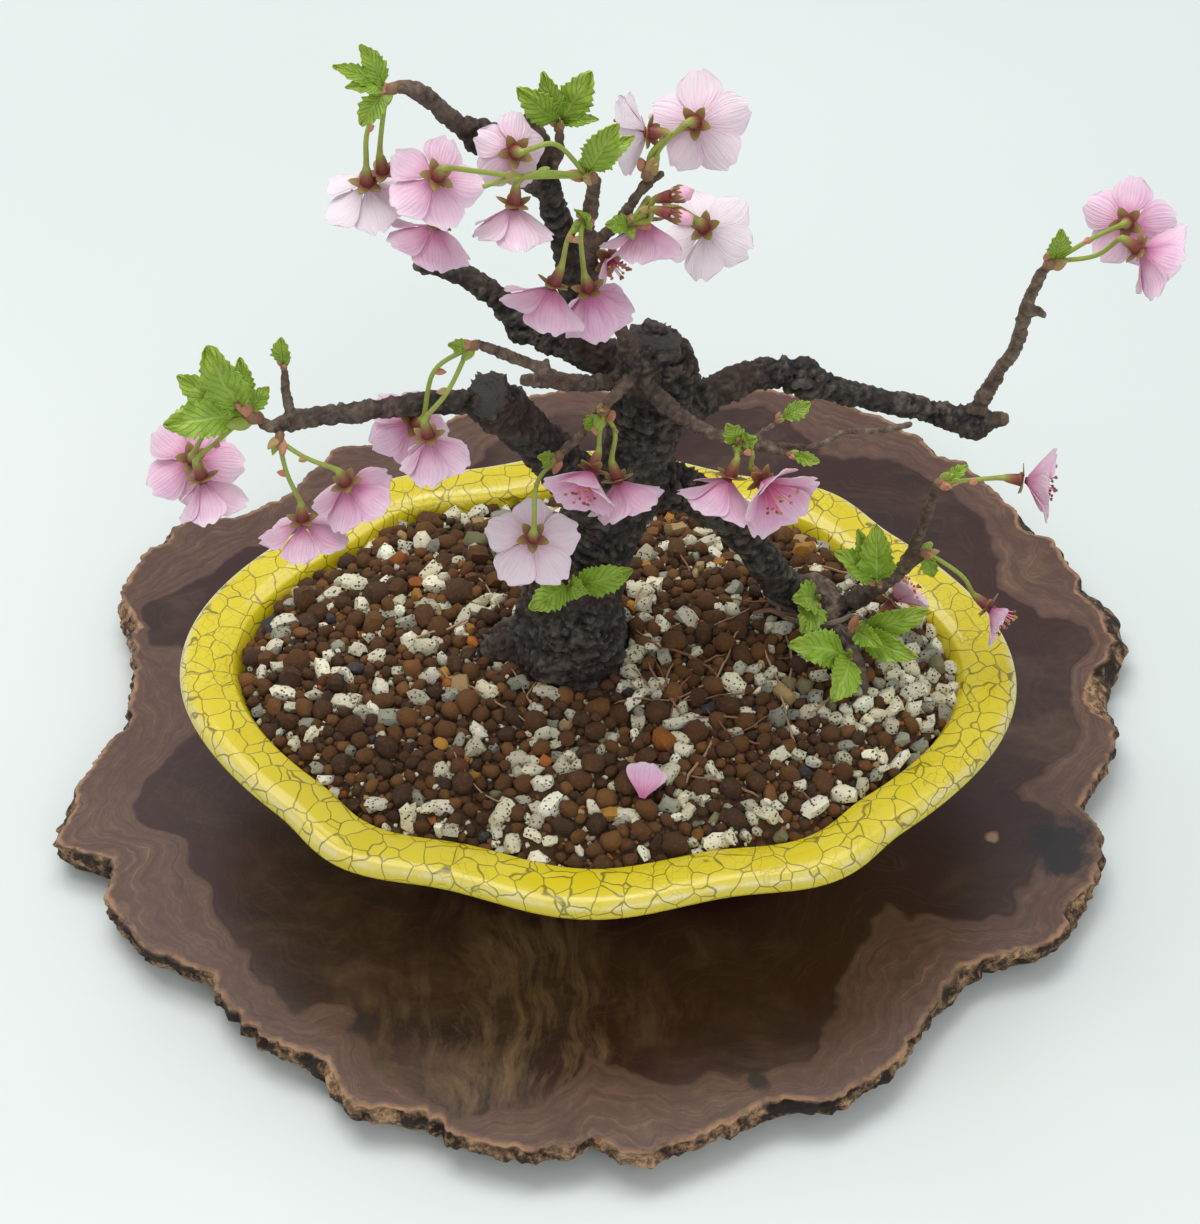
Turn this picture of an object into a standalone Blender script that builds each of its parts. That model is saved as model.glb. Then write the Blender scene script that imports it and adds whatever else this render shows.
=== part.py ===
"""Cherry blossom bonsai in a yellow glazed pot, on a live edge slab of burl wood.

The numbers below are millimetres; every mesh is made in metres, with Z up.
The origin is on the underside of the slab, below the middle of the pot, and X runs along the pot.
"""
import math
import random

import bmesh
import bpy
from mathutils import Matrix, Vector, noise
from mathutils.geometry import delaunay_2d_cdt

MM = 0.001
SEED = 7
GAP = 0.3
TAU = 2 * math.pi

# Slab of burl wood: its edge, read clockwise from the back left corner
SLAB_TOP = 14.0
SLAB_EDGE = [
    (-107, 125), (-124, 114), (-139, 112), (-151, 96), (-156, 75), (-148, 54), (-146, 43), (-148, 21),
    (-158, -8), (-161, -22), (-157, -28), (-143, -32), (-142, -47), (-129, -65), (-108, -74),
    (-106, -80), (-90, -97), (-77, -101), (-64, -116), (-41, -121), (-35, -126), (-17, -130), (-4, -129),
    (3, -125), (16, -131), (33, -124), (52, -113), (70, -111), (79, -103), (87, -97), (101, -76),
    (114, -60), (131, -55), (137, -50), (145, -35), (150, -20), (150, -9), (145, -1), (150, 7),
    (157, 23), (159, 36), (156, 44), (165, 69), (163, 82), (151, 97), (144, 113), (127, 135),
    (118, 147), (95, 166), (73, 178), (49, 183), (28, 184), (-6, 182), (-24, 178), (-60, 163), (-92, 149),
]
SLAB_RINGS = [(0.0, 4.5), (4.5, 0.5), (10.5, 0.0), (14.0, 3.0)]
SLAB_STEP = 16.0
SLAB_CRUMBLE = 1.6

# Pot with eight lobes: half length, half width and the angles where its lobes meet
POT_A = 120.0
POT_B = 90.5
LOBE_EDGES = [-41, 41, 71, 109, 139, 221, 251, 289, 319]
LOBE_COUNTS = [9, 5, 6, 5, 9, 5, 6, 5]
LOBE_DEPTH = 0.045
POT_PROFILE = [
    (47.0, 18.8), (39.0, 23.0), (14.0, 59.0), (3.5, 63.0), (0.2, 66.0), (1.4, 69.4),
    (5.5, 70.6), (12.0, 70.0), (16.0, 67.2), (24.0, 49.0), (39.0, 26.8), (46.0, 24.6),
]
FOOT_PLACES = [(50, 24), (-50, 24), (50, -24), (-50, -24)]
FOOT_RADIUS = 13.0
DRAIN_X = 34.0
DRAIN_RADIUS = 7.0
SCREEN_RADIUS = 12.0
SCREEN_THICK = 0.8

# Soil: inset and height of its sides, its crown, and the pitch of the granules on its top
SOIL_SIDES = [(46.8, 26.2), (39.8, 27.4), (24.7, 49.2), (18.0, 64.0)]
SOIL_EDGE = 65.0
SOIL_CROWN = 9.5
GRANULE_PITCH = 8.2
GRANULE_RISE = 2.4

# Wood: points (x, y, z, radius) along each stem, and the number of sides
WOOD = {
    "trunk": (9, [
        (-8, 1, 47, 14), (-8, 1, 60, 16), (-8, 1, 72, 17.5), (-8, 2, 80, 16), (-8, 3, 89, 14.5),
        (-5, 6, 102, 13), (1, 9, 116, 11.5), (8, 13, 130, 10), (12, 16, 144, 9.5), (14, 18, 156, 10.5),
        (17, 20, 165, 9.5), (19, 21, 170, 7)]),
    "trunk_knuckle": (7, [(9, 13, 161, 6), (12, 15, 168, 9), (14, 17, 174, 9), (15, 18, 178, 6)]),
    "cut_branch": (6, [(3, 8, 122, 8), (-10, 1, 147, 6.5), (-19, -3, 163, 6.2), (-29, -8, 179, 6.8)]),
    "arm_left": (5, [
        (-26, -7, 175, 4.2), (-38, -10, 178, 3.2), (-50, -13, 179, 2.8), (-63, -16, 179, 2.6),
        (-76, -19, 179, 2.5), (-83, -21, 178, 1.9), (-86, -21, 181, 1.4)]),
    "arm_left_spur": (4, [(-78, -19, 180, 1.7), (-79, -18, 188, 1.3), (-79, -17, 194, 1.1)]),
    "arm_right": (5, [
        (17, 16, 150, 6.8), (28, 22, 153, 5.2), (40, 27, 156, 4.2), (53, 31, 154, 4.4), (65, 32, 148, 3.6),
        (78, 32, 144, 3.3), (90, 31, 142, 3.3), (101, 29, 140, 3.6), (111, 27, 143, 1.9)]),
    "arm_right_rise": (4, [
        (102, 29, 141, 2.6), (107, 27, 158, 2.0), (111, 24, 172, 1.9), (112, 20, 190, 1.8),
        (114, 17, 202, 1.6), (115, 15, 207, 1.4)]),
    "arm_right_stub": (4, [(112, 21, 186, 1.5), (115, 20, 188, 1.3), (117, 19, 187, 1.0)]),
    "leader": (5, [
        (12, 19, 164, 6.5), (1, 20, 168, 5), (-5, 21, 175, 4), (-7, 22, 187, 3.6), (-9, 22, 203, 3.4),
        (-12, 20, 219, 3.3), (-14, 18, 233, 3.0), (-15, 16, 243, 2.5), (-18, 14, 251, 2.1)]),
    "leader_hook": (4, [(-17, 14, 249, 1.8), (-20, 12, 252, 1.7), (-22, 11, 250, 1.3)]),
    "crown_left": (4, [
        (-12, 19, 223, 2.8), (-19, 16, 232, 2.6), (-24, 12, 242, 3.2), (-29, 9, 249, 4), (-34, 6, 255, 2.5),
        (-39, 3, 263, 2.3), (-43, 0, 269, 2.2), (-46, -1, 271, 1.8), (-48, -2, 272, 1.5)]),
    "back_left": (5, [
        (-2, 20, 169, 4.4), (-13, 24, 170, 3.8), (-21, 27, 174, 3.4), (-27, 30, 179, 3.4), (-34, 33, 183, 3.2),
        (-42, 36, 185, 3.1), (-49, 38, 184, 2.5)]),
    "crown_mid": (4, [
        (-7, 21, 182, 2.8), (-1, 17, 195, 2.3), (-2, 14, 206, 2.1), (-3, 11, 217, 2.0), (-2, 8, 228, 1.9),
        (-1, 6, 237, 1.7), (-1, 5, 240, 1.5)]),
    "crown_right": (4, [
        (-2, 12, 212, 1.6), (2, 11, 218, 1.6), (6, 10, 224, 1.5), (9, 10, 230, 1.4), (12, 11, 234, 1.4),
        (16, 12, 237, 1.2)]),
    "top_spur": (4, [(-13, 18, 231, 1.6), (-10, 17, 239, 1.3), (-10, 16, 246, 1.2)]),
    "front_stem": (5, [(12, 15, 164, 4), (9, 10, 174, 3.2), (7, 10, 184, 2.2), (4, 12, 189, 1.5)]),
    "front_right": (5, [
        (9, 9, 173, 2.8), (15, 5, 169, 2.5), (21, 2, 165, 2.3), (30, -1, 161, 1.8), (39, -3, 160, 1.6),
        (50, -5, 158, 1.1)]),
    "front_right_twig": (4, [
        (41, -3, 160, 1.1), (57, 0, 156, 1.0), (66, 4, 158, 1.0), (75, 8, 155, 1.0), (84, 12, 154, 1.0)]),
    "front_right_spur": (4, [(41, -3, 160, 1.0), (44, -2, 163, 0.9), (47, -1, 165, 0.8)]),
    "front_down": (4, [
        (9, 8, 172, 2.0), (4, 1, 171, 1.6), (-1, -5, 168, 1.4), (-6, -9, 164, 1.3), (-9, -11, 162, 1.2)]),
    "front_left": (4, [(12, 14, 166, 3.2), (1, 7, 171, 2.4), (-10, 1, 176, 2.0), (-19, -4, 181, 1.7)]),
    "front_left_tip": (4, [(-9, 2, 176, 1.6), (-16, -3, 185, 1.6), (-23, -8, 193, 1.6), (-30, -11, 199, 1.3)]),
    "front_left_spur": (4, [(-13, -1, 180, 1.1), (-13, -3, 187, 0.9)]),
    "low_arch": (5, [
        (9, 13, 134, 8), (25, 15, 124, 6), (38, 17, 111, 5.2), (47, 18, 94, 5), (55, 19, 77, 5.6),
        (58, 19, 66, 6), (58, 19, 54, 5)]),
    "low_stem": (4, [
        (54, 18, 77, 4.5), (65, 17, 77, 3.4), (72, 16, 81, 2.9), (78, 15, 87, 2.6), (84, 14, 95, 2.3),
        (90, 13, 104, 1.9)]),
    "low_twig": (4, [(86, 14, 97, 2.0), (89, 12, 112, 1.7), (91, 10, 125, 1.6), (92, 8, 136, 1.4)]),
    "root_left": (6, [(-10, 2, 74, 11), (-20, 3, 74, 8.5), (-27, 1, 73, 7), (-33, -3, 70, 4.5)]),
    "root_front": (5, [(-8, 0, 73, 12), (-4, -9, 72, 8), (-1, -15, 69, 5)]),
    "root_down": (4, [
        (58, 18, 76, 3.0), (67, 12, 77, 2.2), (71, 5, 76, 2.0), (75, -4, 74, 1.8), (76, -13, 71, 1.5)]),
    "root_curl": (4, [
        (56, 20, 74, 2.2), (57, 25, 79, 2.0), (64, 23, 82, 1.9), (68, 16, 80, 1.7), (63, 9, 77, 1.6),
        (57, 9, 75, 1.5)]),
}
KNOTS = [
    ((18, 15, 168), 8.5, 2), ((-29, 9, 249), 4.6, 1), ((102, 29, 140), 5, 1), ((55, 31, 153), 6, 1),
    ((60, 18, 76), 7, 1), ((-21, 27, 173), 5, 1),
]
BARK_ROUGH = 0.16
BURIED = ["trunk", "root_left", "root_front", "low_arch", "root_down", "root_curl", "low_stem"]

# Blooms: (top of the calyx, the way the bloom faces, degrees it is turned, degrees its petals open,
# petal length, the petals it still has)
BLOOMS = {
    "crown_white": ((-56, -7, 246), (-0.04, 0.11, -0.99), 20, 64, 12, 5),
    "upper_left_back": ((-38, -15, 255), (-0.32, 0.42, -0.85), 20, 76, 12, 5),
    "upper_left_low": ((-39, -12, 238), (-0.39, -0.16, -0.9), 50, 61, 12, 5),
    "upper_left_behind": ((-20, -3, 254), (-0.32, 0.75, -0.57), 4, 61, 10, 5),
    "upper_left_near": ((-20, -9, 242), (-0.1, -0.26, -0.95), 30, 55, 12, 5),
    "upper_mid_left": ((-11, -7, 215), (-0.38, -0.32, -0.87), 60, 58, 13, 5),
    "upper_mid_right": ((-2, 0, 208), (0.19, 0.11, -0.97), 19, 46, 13, 5),
    "crown_right_back": ((24, 18, 248), (0.3, 0.73, -0.61), 0, 74, 13, 5),
    "crown_right_left": ((12, 15, 247), (-0.92, 0.31, -0.25), 20, 60, 11, 5),
    "mid_right_white": ((27, 20, 213), (0.3, 0.46, -0.84), 40, 72, 13, 5),
    "mid_right_pink": ((12, 10, 223), (-0.06, -0.35, -0.93), 53, 52, 12, 5),
    "inner_small": ((3, 12, 208), (0.49, -0.86, 0.14), 30, 44, 8, 2),
    "far_left_back": ((-105, -19, 164), (-0.14, 0.59, -0.79), 20, 73, 13, 5),
    "far_left_hanging": ((-100, -33, 170), (0.25, -0.16, -0.95), 12, 49, 12, 5),
    "left_hanging": ((-76, -29, 152), (0.01, -0.1, -0.99), 36, 67, 12, 5),
    "left_right": ((-64, -26, 163), (0.3, 0.15, -0.94), 40, 66, 12, 4),
    "front_left_back": ((-47, -13, 173), (-0.44, 0.5, -0.75), 27, 62, 12, 5),
    "front_left_near": ((-42, -26, 180), (0.17, -0.02, -0.99), 40, 50, 12, 5),
    "front_low_white": ((-16, -27, 146), (-0.08, 0.47, -0.88), 0, 72, 13, 5),
    "front_mid_open": ((-1, -19, 163), (-0.31, -0.87, -0.39), 36, 53, 12, 5),
    "front_mid_hanging": ((6, -14, 155), (0.3, -0.33, -0.88), 30, 55, 12, 5),
    "front_right_hanging": ((35, -14, 157), (-0.35, -0.37, -0.84), 30, 55, 13, 5),
    "front_right_open": ((44, -16, 158), (0.53, -0.84, -0.09), 36, 51, 14, 5),
    "right_tip_back": ((134, 16, 221), (0.26, 0.77, -0.58), 10, 73, 12, 5),
    "right_tip_side": ((136, 3, 223), (0.82, -0.04, -0.57), 20, 56, 12, 5),
    "low_side": ((116, 8, 138), (0.9, -0.14, 0), 36, 58, 12, 5),
    "low_shedding": ((111, 8, 88), (0.75, -0.57, -0.27), 100, 50, 10, 2),
    "low_hidden": ((85, 18, 80), (0.71, 0.44, 0.55), 0, 55, 10, 5),
}
HUB_RADIUS = 1.7
PETAL_THICK = 0.65
PETAL_ROWS = [(0.36, 3.9), (0.76, 5.0), (1.0, 3.1)]
PETAL_NOTCH = 0.08
PETAL_CURL = 22.0
PETAL_CUP = 0.05
PETAL_CLEAR = 0.25
VIEW_UP = Vector((0, 0.72, 0.70))
VIEW_BACK = Vector((0, -0.69, 0.72))

# Calyx: length and radius of its tube, reach of its sepals and the angle they open to
CALYX_LENGTH = 6.0
CALYX_RADIUS = 1.7
SEPAL_REACH = 5.0
SEPAL_OPEN = 80.0
STALK_RADIUS = 0.6
STALK_SIDES = 5

# Sprays: where the bud sits (point on the wood, radius of the wood there, way out), its radius,
# the stalks (bloom, a point on the way), the bare calyxes and buds (tip, way it faces, a point on the
# way), and the leaves (tip, width)
SPRAYS = {
    "spray_crown_left": dict(
        seat=((-48, -2, 272), 0, (-0.8, -0.4, -0.2)), bud=2.2,
        blooms=[("crown_white", (-55, -6, 262))],
        spent=[((-52, -5, 248), (0.1, 0, -1), (-52, -4, 260))],
        leaves=[((-56, -2, 284), 4.5), ((-62, -8, 282), 4), ((-59, -11, 278), 3.5), ((-56, -11, 267), 5)]),
    "spray_upper_left": dict(
        seat=((-1, 5, 240), 0, (-0.55, -0.45, 0.7)), bud=2.6,
        blooms=[("upper_left_back", (-18, -6, 249)), ("upper_left_low", (-22, -9, 250)),
                ("upper_left_behind", (-10, -1, 255)), ("upper_left_near", (-14, -7, 251))],
        spent=[],
        leaves=[((5, 0, 261), 7), ((9, 7, 252), 4)]),
    "spray_upper_mid": dict(
        seat=((-2, 9, 226), 1.9, (-0.3, -0.9, 0.3)), bud=2.2,
        blooms=[("upper_mid_left", (-7, 0, 226)), ("upper_mid_right", (-4, -1, 226))],
        spent=[],
        leaves=[((-2, 1, 232), 5)]),
    "spray_crown_right": dict(
        seat=((12, 11, 234), 1.4, (0.1, 0.1, 1)), bud=2.4,
        blooms=[("crown_right_back", (16, 13, 245)), ("crown_right_left", (13, 12, 243))],
        spent=[], leaves=[]),
    "spray_mid_right": dict(
        seat=((6, 10, 224), 1.5, (0.5, -0.8, 0.3)), bud=2.4,
        blooms=[("mid_right_white", (18, 15, 224)), ("mid_right_pink", (10, 6, 229))],
        spent=[((19, 3, 237), (0.9, -0.3, 0.5), (13, 4, 232)), ((19, -1, 234), (0.9, -0.5, 0.1), (13, 3, 229))],
        leaves=[((2, 1, 229), 4)]),
    "spray_inner": dict(
        seat=((-2, 14, 206), 2.1, (0.9, -0.3, -0.3)), bud=1.2,
        blooms=[("inner_small", None)], spent=[], leaves=[]),
    "spray_far_left": dict(
        seat=((-86, -21, 181), 0, (-0.8, -0.3, 0.5)), bud=3.0,
        blooms=[("far_left_back", (-97, -23, 182)), ("far_left_hanging", (-97, -28, 178))],
        spent=[],
        leaves=[((-97, -22, 206), 9), ((-109, -30, 186), 8), ((-106, -20, 194), 7), ((-90, -17, 198), 5),
                ((-83, -19, 190), 4)]),
    "spray_left": dict(
        seat=((-80, -20, 179), 2.4, (-0.2, -0.8, -0.6)), bud=1.8,
        blooms=[("left_hanging", (-79, -28, 168)), ("left_right", (-74, -26, 172))],
        spent=[], leaves=[]),
    "spray_front_left": dict(
        seat=((-30, -11, 199), 0, (-0.8, -0.5, 0)), bud=2.0,
        blooms=[("front_left_back", (-41, -15, 193)), ("front_left_near", (-37, -21, 192))],
        spent=[], leaves=[((-37, -16, 203), 3)]),
    "spray_front_low": dict(
        seat=((-9, -11, 162), 0, (-0.6, -0.6, -0.5)), bud=2.0,
        blooms=[("front_low_white", (-15, -21, 160))],
        spent=[], leaves=[((-15, -16, 165), 3)]),
    "spray_front_mid": dict(
        seat=((2, -2, 170), 1.6, (0, -0.9, 0.4)), bud=2.4,
        blooms=[("front_mid_open", (1, -11, 169)), ("front_mid_hanging", (5, -9, 168))],
        spent=[], leaves=[((-3, -8, 168), 3.6)]),
    "spray_front_right": dict(
        seat=((38, -3, 160), 1.0, (0, -0.8, 0.6)), bud=2.4,
        blooms=[("front_right_hanging", (37, -11, 163)), ("front_right_open", (41, -10, 163))],
        spent=[], leaves=[((34, -7, 170), 4.5), ((42, -9, 167), 4)]),
    "spray_right_tip": dict(
        seat=((115, 15, 207), 0, (0.5, -0.2, 0.8)), bud=2.4,
        blooms=[("right_tip_back", (125, 13, 218)), ("right_tip_side", (126, 10, 215))],
        spent=[], leaves=[((117, 13, 221), 5)]),
    "spray_low_side": dict(
        seat=((92, 8, 136), 0, (0.7, -0.3, 0.5)), bud=2.0,
        blooms=[("low_side", (103, 8, 138))], spent=[], leaves=[((100, 8, 143), 3)]),
    "spray_low_shedding": dict(
        seat=((90, 13, 104), 0, (0.9, -0.2, 0.6)), bud=1.8,
        blooms=[("low_shedding", (102, 11, 98))], spent=[], leaves=[((94, 9, 99), 4)]),
    "spray_low_hidden": dict(
        seat=((71, 5, 76), 1.4, (0.5, 0.3, 0.8)), bud=2.2,
        blooms=[("low_hidden", None)], spent=[],
        leaves=[((90, -10, 86), 7), ((93, 3, 92), 7), ((80, -8, 88), 5)]),
    "leaves_top": dict(
        seat=((-10, 16, 246), 0, (0, -0.1, 1)), bud=1.8, blooms=[], spent=[],
        leaves=[((-20, 12, 262), 6), ((-14, 16, 264), 5), ((-2, 18, 263), 7), ((0, 12, 253), 3)]),
    "leaves_left_spur": dict(
        seat=((-79, -17, 194), 0, (0, 0, 1)), bud=1.3, blooms=[], spent=[],
        leaves=[((-79, -17, 205), 4)]),
    "leaves_right_spur": dict(
        seat=((47, -1, 165), 0, (0.6, 0.3, 0.7)), bud=1.1, blooms=[], spent=[],
        leaves=[((56, 2, 170), 4)]),
    "leaves_right_twig": dict(
        seat=((50, -5, 158), 0, (0.9, -0.3, 0)), bud=1.1, blooms=[], spent=[],
        leaves=[((59, -8, 158), 3)]),
    "leaves_low_back": dict(
        seat=((81, 14, 91), 1.6, (-0.5, -0.6, 0.6)), bud=1.5, blooms=[], spent=[],
        leaves=[((77, 10, 118), 8), ((66, 9, 108), 7), ((72, 12, 114), 5)]),
    "leaves_low_left": dict(
        seat=((62, 18, 79), 2.3, (0, -0.7, 0.7)), bud=1.5, blooms=[], spent=[],
        leaves=[((55, 6, 92), 8), ((58, 0, 84), 7)]),
    "leaves_low_front": dict(
        seat=((73, 0, 75), 1.0, (-0.5, -0.5, 0.7)), bud=1.3, blooms=[], spent=[],
        leaves=[((54, -9, 89), 9), ((66, -22, 80), 8)]),
    "leaves_trunk": dict(
        seat=((-4, 6, 104), 9.7, (-0.2, -0.9, 0.3)), bud=1.6, blooms=[], spent=[],
        leaves=[((-18, -18, 110), 7), ((10, -12, 120), 7), ((-2, -17, 116), 5)]),
}
LEAF_THICK = 0.6
LEAF_ARCH = 0.10
TOOTH = 0.16

FALLEN_PETAL = ((14, -51), 12.0, 9.0)

COLOURS = {
    "slab": (0.13, 0.055, 0.035), "pot": (0.85, 0.66, 0.02), "soil": (0.20, 0.09, 0.04),
    "bark": (0.07, 0.055, 0.045), "petal": (0.86, 0.55, 0.68), "green": (0.36, 0.52, 0.10),
    "screen": (0.05, 0.05, 0.05),
}


def make_object(name, mesh, colour, roughness):
    """Wrap a mesh as a named object with its own material."""
    mesh.name = name
    item = bpy.data.objects.new(name, mesh)
    bpy.context.scene.collection.objects.link(item)
    material = bpy.data.materials.new(name)
    material.use_nodes = True
    shader = material.node_tree.nodes["Principled BSDF"]
    shader.inputs["Base Color"].default_value = (*COLOURS[colour], 1)
    shader.inputs["Roughness"].default_value = roughness
    shader.inputs["Metallic"].default_value = 0.0
    mesh.materials.clear()
    mesh.materials.append(material)
    return item


def mesh_of(points, faces):
    """Build one closed mesh in metres from millimetre points, with its faces turned outwards."""
    mesh = bpy.data.meshes.new("solid")
    mesh.from_pydata([Vector(p) * MM for p in points], [], faces)
    shape = bmesh.new()
    shape.from_mesh(mesh)
    bmesh.ops.triangulate(shape, faces=shape.faces)
    bmesh.ops.recalc_face_normals(shape, faces=shape.faces)
    if shape.calc_volume(signed=True) < 0:
        bmesh.ops.reverse_faces(shape, faces=shape.faces)
    shape.to_mesh(mesh)
    shape.free()
    return mesh


def loft(rings, cap_start=True, cap_end=True):
    """Join rings of equal length side by side, and close the first and the last."""
    count = len(rings[0])
    points = [p for ring in rings for p in ring]
    faces = []
    for row in range(len(rings) - 1):
        for i in range(count):
            j = (i + 1) % count
            faces.append((row * count + i, row * count + j, (row + 1) * count + j, (row + 1) * count + i))
    if cap_start:
        faces.append(tuple(reversed(range(count))))
    if cap_end:
        faces.append(tuple(range((len(rings) - 1) * count, len(rings) * count)))
    return points, faces


def smooth_path(points, step):
    """Read a Catmull-Rom curve of (x, y, z, radius) points about every step."""
    knots = [Vector(p) for p in points]
    knots = [2 * knots[0] - knots[1]] + knots + [2 * knots[-1] - knots[-2]]
    path = []
    for a, b, c, d in zip(knots, knots[1:], knots[2:], knots[3:]):
        count = max(1, round((c - b).length / step))
        for i in range(count):
            t = i / count
            path.append(0.5 * (2 * b + (c - a) * t + (2 * a - 5 * b + 4 * c - d) * t * t
                               + (3 * b - a - 3 * c + d) * t ** 3))
    path.append(knots[-2])
    return path


def tube_rings(path, sides, start=None, rough=0.0, grow=0.0):
    """Give the rings of a tube along (x, y, z, radius) points, turned as little as can be."""
    centres = [p.xyz for p in path]
    normal = start or Vector((0.3, 0.5, 0.8))
    rings = []
    for i, point in enumerate(path):
        along = (centres[min(i + 1, len(path) - 1)] - centres[max(i - 1, 0)]).normalized()
        normal = (normal - along * normal.dot(along)).normalized()
        side = along.cross(normal)
        ring = []
        for k in range(sides):
            angle = TAU * k / sides
            way = normal * math.cos(angle) + side * math.sin(angle)
            bump = 1 + rough * noise.noise((centres[i] + way * point.w) * 0.17)
            ring.append(centres[i] + way * (point.w * bump + grow))
        rings.append(ring)
    return rings


def join_solids(meshes, solver):
    """Unite closed meshes in one Boolean union, and remove what it was made from."""
    if len(meshes) == 1:
        return meshes[0]
    body = bpy.data.objects.new("body", meshes[0])
    bpy.context.scene.collection.objects.link(body)
    extras = bpy.data.collections.new("extras")
    bpy.context.scene.collection.children.link(extras)
    for mesh in meshes[1:]:
        extras.objects.link(bpy.data.objects.new("extra", mesh))
    union = body.modifiers.new("union", "BOOLEAN")
    union.operation = "UNION"
    union.operand_type = "COLLECTION"
    union.collection = extras
    union.solver = solver
    return apply_and_clear(body, list(extras.objects), extras)


def cut_solid(mesh, cutters, solver="EXACT"):
    """Cut closed meshes out of another."""
    body = bpy.data.objects.new("body", mesh)
    bpy.context.scene.collection.objects.link(body)
    tools = bpy.data.collections.new("cutters")
    bpy.context.scene.collection.children.link(tools)
    for cutter in cutters:
        tool = bpy.data.objects.new("cutter", cutter)
        tool.hide_render = True
        tool.display_type = "WIRE"
        tools.objects.link(tool)
    cut = body.modifiers.new("cut", "BOOLEAN")
    cut.operation = "DIFFERENCE"
    cut.operand_type = "COLLECTION"
    cut.collection = tools
    cut.solver = solver
    return apply_and_clear(body, list(tools.objects), tools)


def apply_and_clear(body, others, holder):
    """Read a body as its modifier leaves it, in triangles, and remove it with its helpers."""
    bpy.context.view_layer.update()
    seen = body.evaluated_get(bpy.context.evaluated_depsgraph_get())
    result = bpy.data.meshes.new_from_object(seen)
    for item in others + [body]:
        bpy.data.objects.remove(item)
    bpy.data.collections.remove(holder)
    shape = bmesh.new()
    shape.from_mesh(result)
    bmesh.ops.remove_doubles(shape, verts=shape.verts, dist=0.002 * MM)
    bmesh.ops.dissolve_degenerate(shape, edges=shape.edges, dist=0.002 * MM)
    bmesh.ops.triangulate(shape, faces=shape.faces)
    shape.to_mesh(result)
    shape.free()
    return result


def knot_mesh(centre, radius, cells=1, rough=0.25):
    """Make a lumpy ball of wood or a bud."""
    shape = bmesh.new()
    bmesh.ops.create_icosphere(shape, subdivisions=cells, radius=radius * MM)
    for vert in shape.verts:
        way = vert.co.normalized()
        vert.co = (Vector(centre) + way * radius * (1 + rough * noise.noise(way * 1.7 + Vector(centre)))) * MM
    mesh = bpy.data.meshes.new("knot")
    shape.to_mesh(mesh)
    shape.free()
    return mesh


def lobed_ring(inset, height):
    """Give the pot's eight lobed outline, drawn in by an inset, at a height."""
    ring = []
    for edge, following, count in zip(LOBE_EDGES, LOBE_EDGES[1:], LOBE_COUNTS):
        for i in range(count):
            share = i / count
            angle = math.radians(edge + (following - edge) * share)
            reach = 1 - LOBE_DEPTH * math.cos(math.pi * share) ** 2
            ring.append(Vector(((POT_A - inset) * reach * math.cos(angle),
                                (POT_B - inset) * reach * math.sin(angle), height)))
    return ring


def build_slab():
    """Make the slab: a flat slice with a crumbling edge."""
    edge = []
    corners = [Vector((x, y)) for x, y in SLAB_EDGE]
    for here, there in zip(corners, corners[1:] + corners[:1]):
        count = max(1, round((there - here).length / SLAB_STEP))
        edge += [here.lerp(there, i / count) for i in range(count)]
    middle = sum(edge, Vector((0, 0))) / len(edge)
    rings = []
    for height, inset in SLAB_RINGS:
        ring = []
        for point in edge:
            way = (point - middle).normalized()
            crumb = SLAB_CRUMBLE * noise.noise(Vector((point.x * 0.11, point.y * 0.11, height * 0.35)))
            place = point - way * (inset + crumb)
            ring.append(Vector((place.x, place.y, height)))
        rings.append(ring)
    return make_object("wood_slab", mesh_of(*loft(rings)), "slab", 0.45)


def disc_mesh(x, y, low, high, radius, sides=20, squash=1.0):
    """Make an upright round plate."""
    angles = [TAU * k / sides for k in range(sides)]
    rings = [[Vector((x + radius * math.cos(a), y + squash * radius * math.sin(a), height)) for a in angles]
             for height in (low, high)]
    return mesh_of(*loft(rings))


def build_pot():
    """Make the lobed pot with its rolled lip, four low feet and two drainage holes."""
    shell = mesh_of(*loft([lobed_ring(inset, height) for inset, height in POT_PROFILE]))
    foot_low = SLAB_TOP + GAP
    feet = [disc_mesh(x, y, foot_low, 21.0, FOOT_RADIUS, 8, 0.6) for x, y in FOOT_PLACES]
    body = join_solids([shell] + feet, "MANIFOLD")
    drains = [disc_mesh(x, 0, 10.0, 30.0, DRAIN_RADIUS, 12) for x in (-DRAIN_X, DRAIN_X)]
    return make_object("pot", cut_solid(body, drains, "MANIFOLD"), "pot", 0.12)


def build_screens():
    """Make the two plastic screens that lie over the drainage holes."""
    low = POT_PROFILE[-1][1] + GAP
    for side, x in (("left", -DRAIN_X), ("right", DRAIN_X)):
        mesh = disc_mesh(x, 0, low, low + SCREEN_THICK, SCREEN_RADIUS)
        make_object("drainage_screen_" + side, mesh, "screen", 0.6)


def soil_height(x, y):
    """Give the height of the mounded soil at a place."""
    out = (x / (POT_A - 16)) ** 2 + (y / (POT_B - 16)) ** 2
    return SOIL_EDGE + SOIL_CROWN * max(0.0, 1 - out) ** 0.7


def wood_meshes(names, grow=0.0):
    """Make the solids of the named stems, all as thick as they are or grown by a gap."""
    meshes = []
    for name in names:
        sides, points = WOOD[name]
        thickest = max(p[3] for p in points)
        path = smooth_path(points, max(10.0, 0.8 * thickest))
        rings = tube_rings(path, sides, rough=BARK_ROUGH, grow=grow)
        meshes.append(mesh_of(*loft(rings)))
    return meshes


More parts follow.
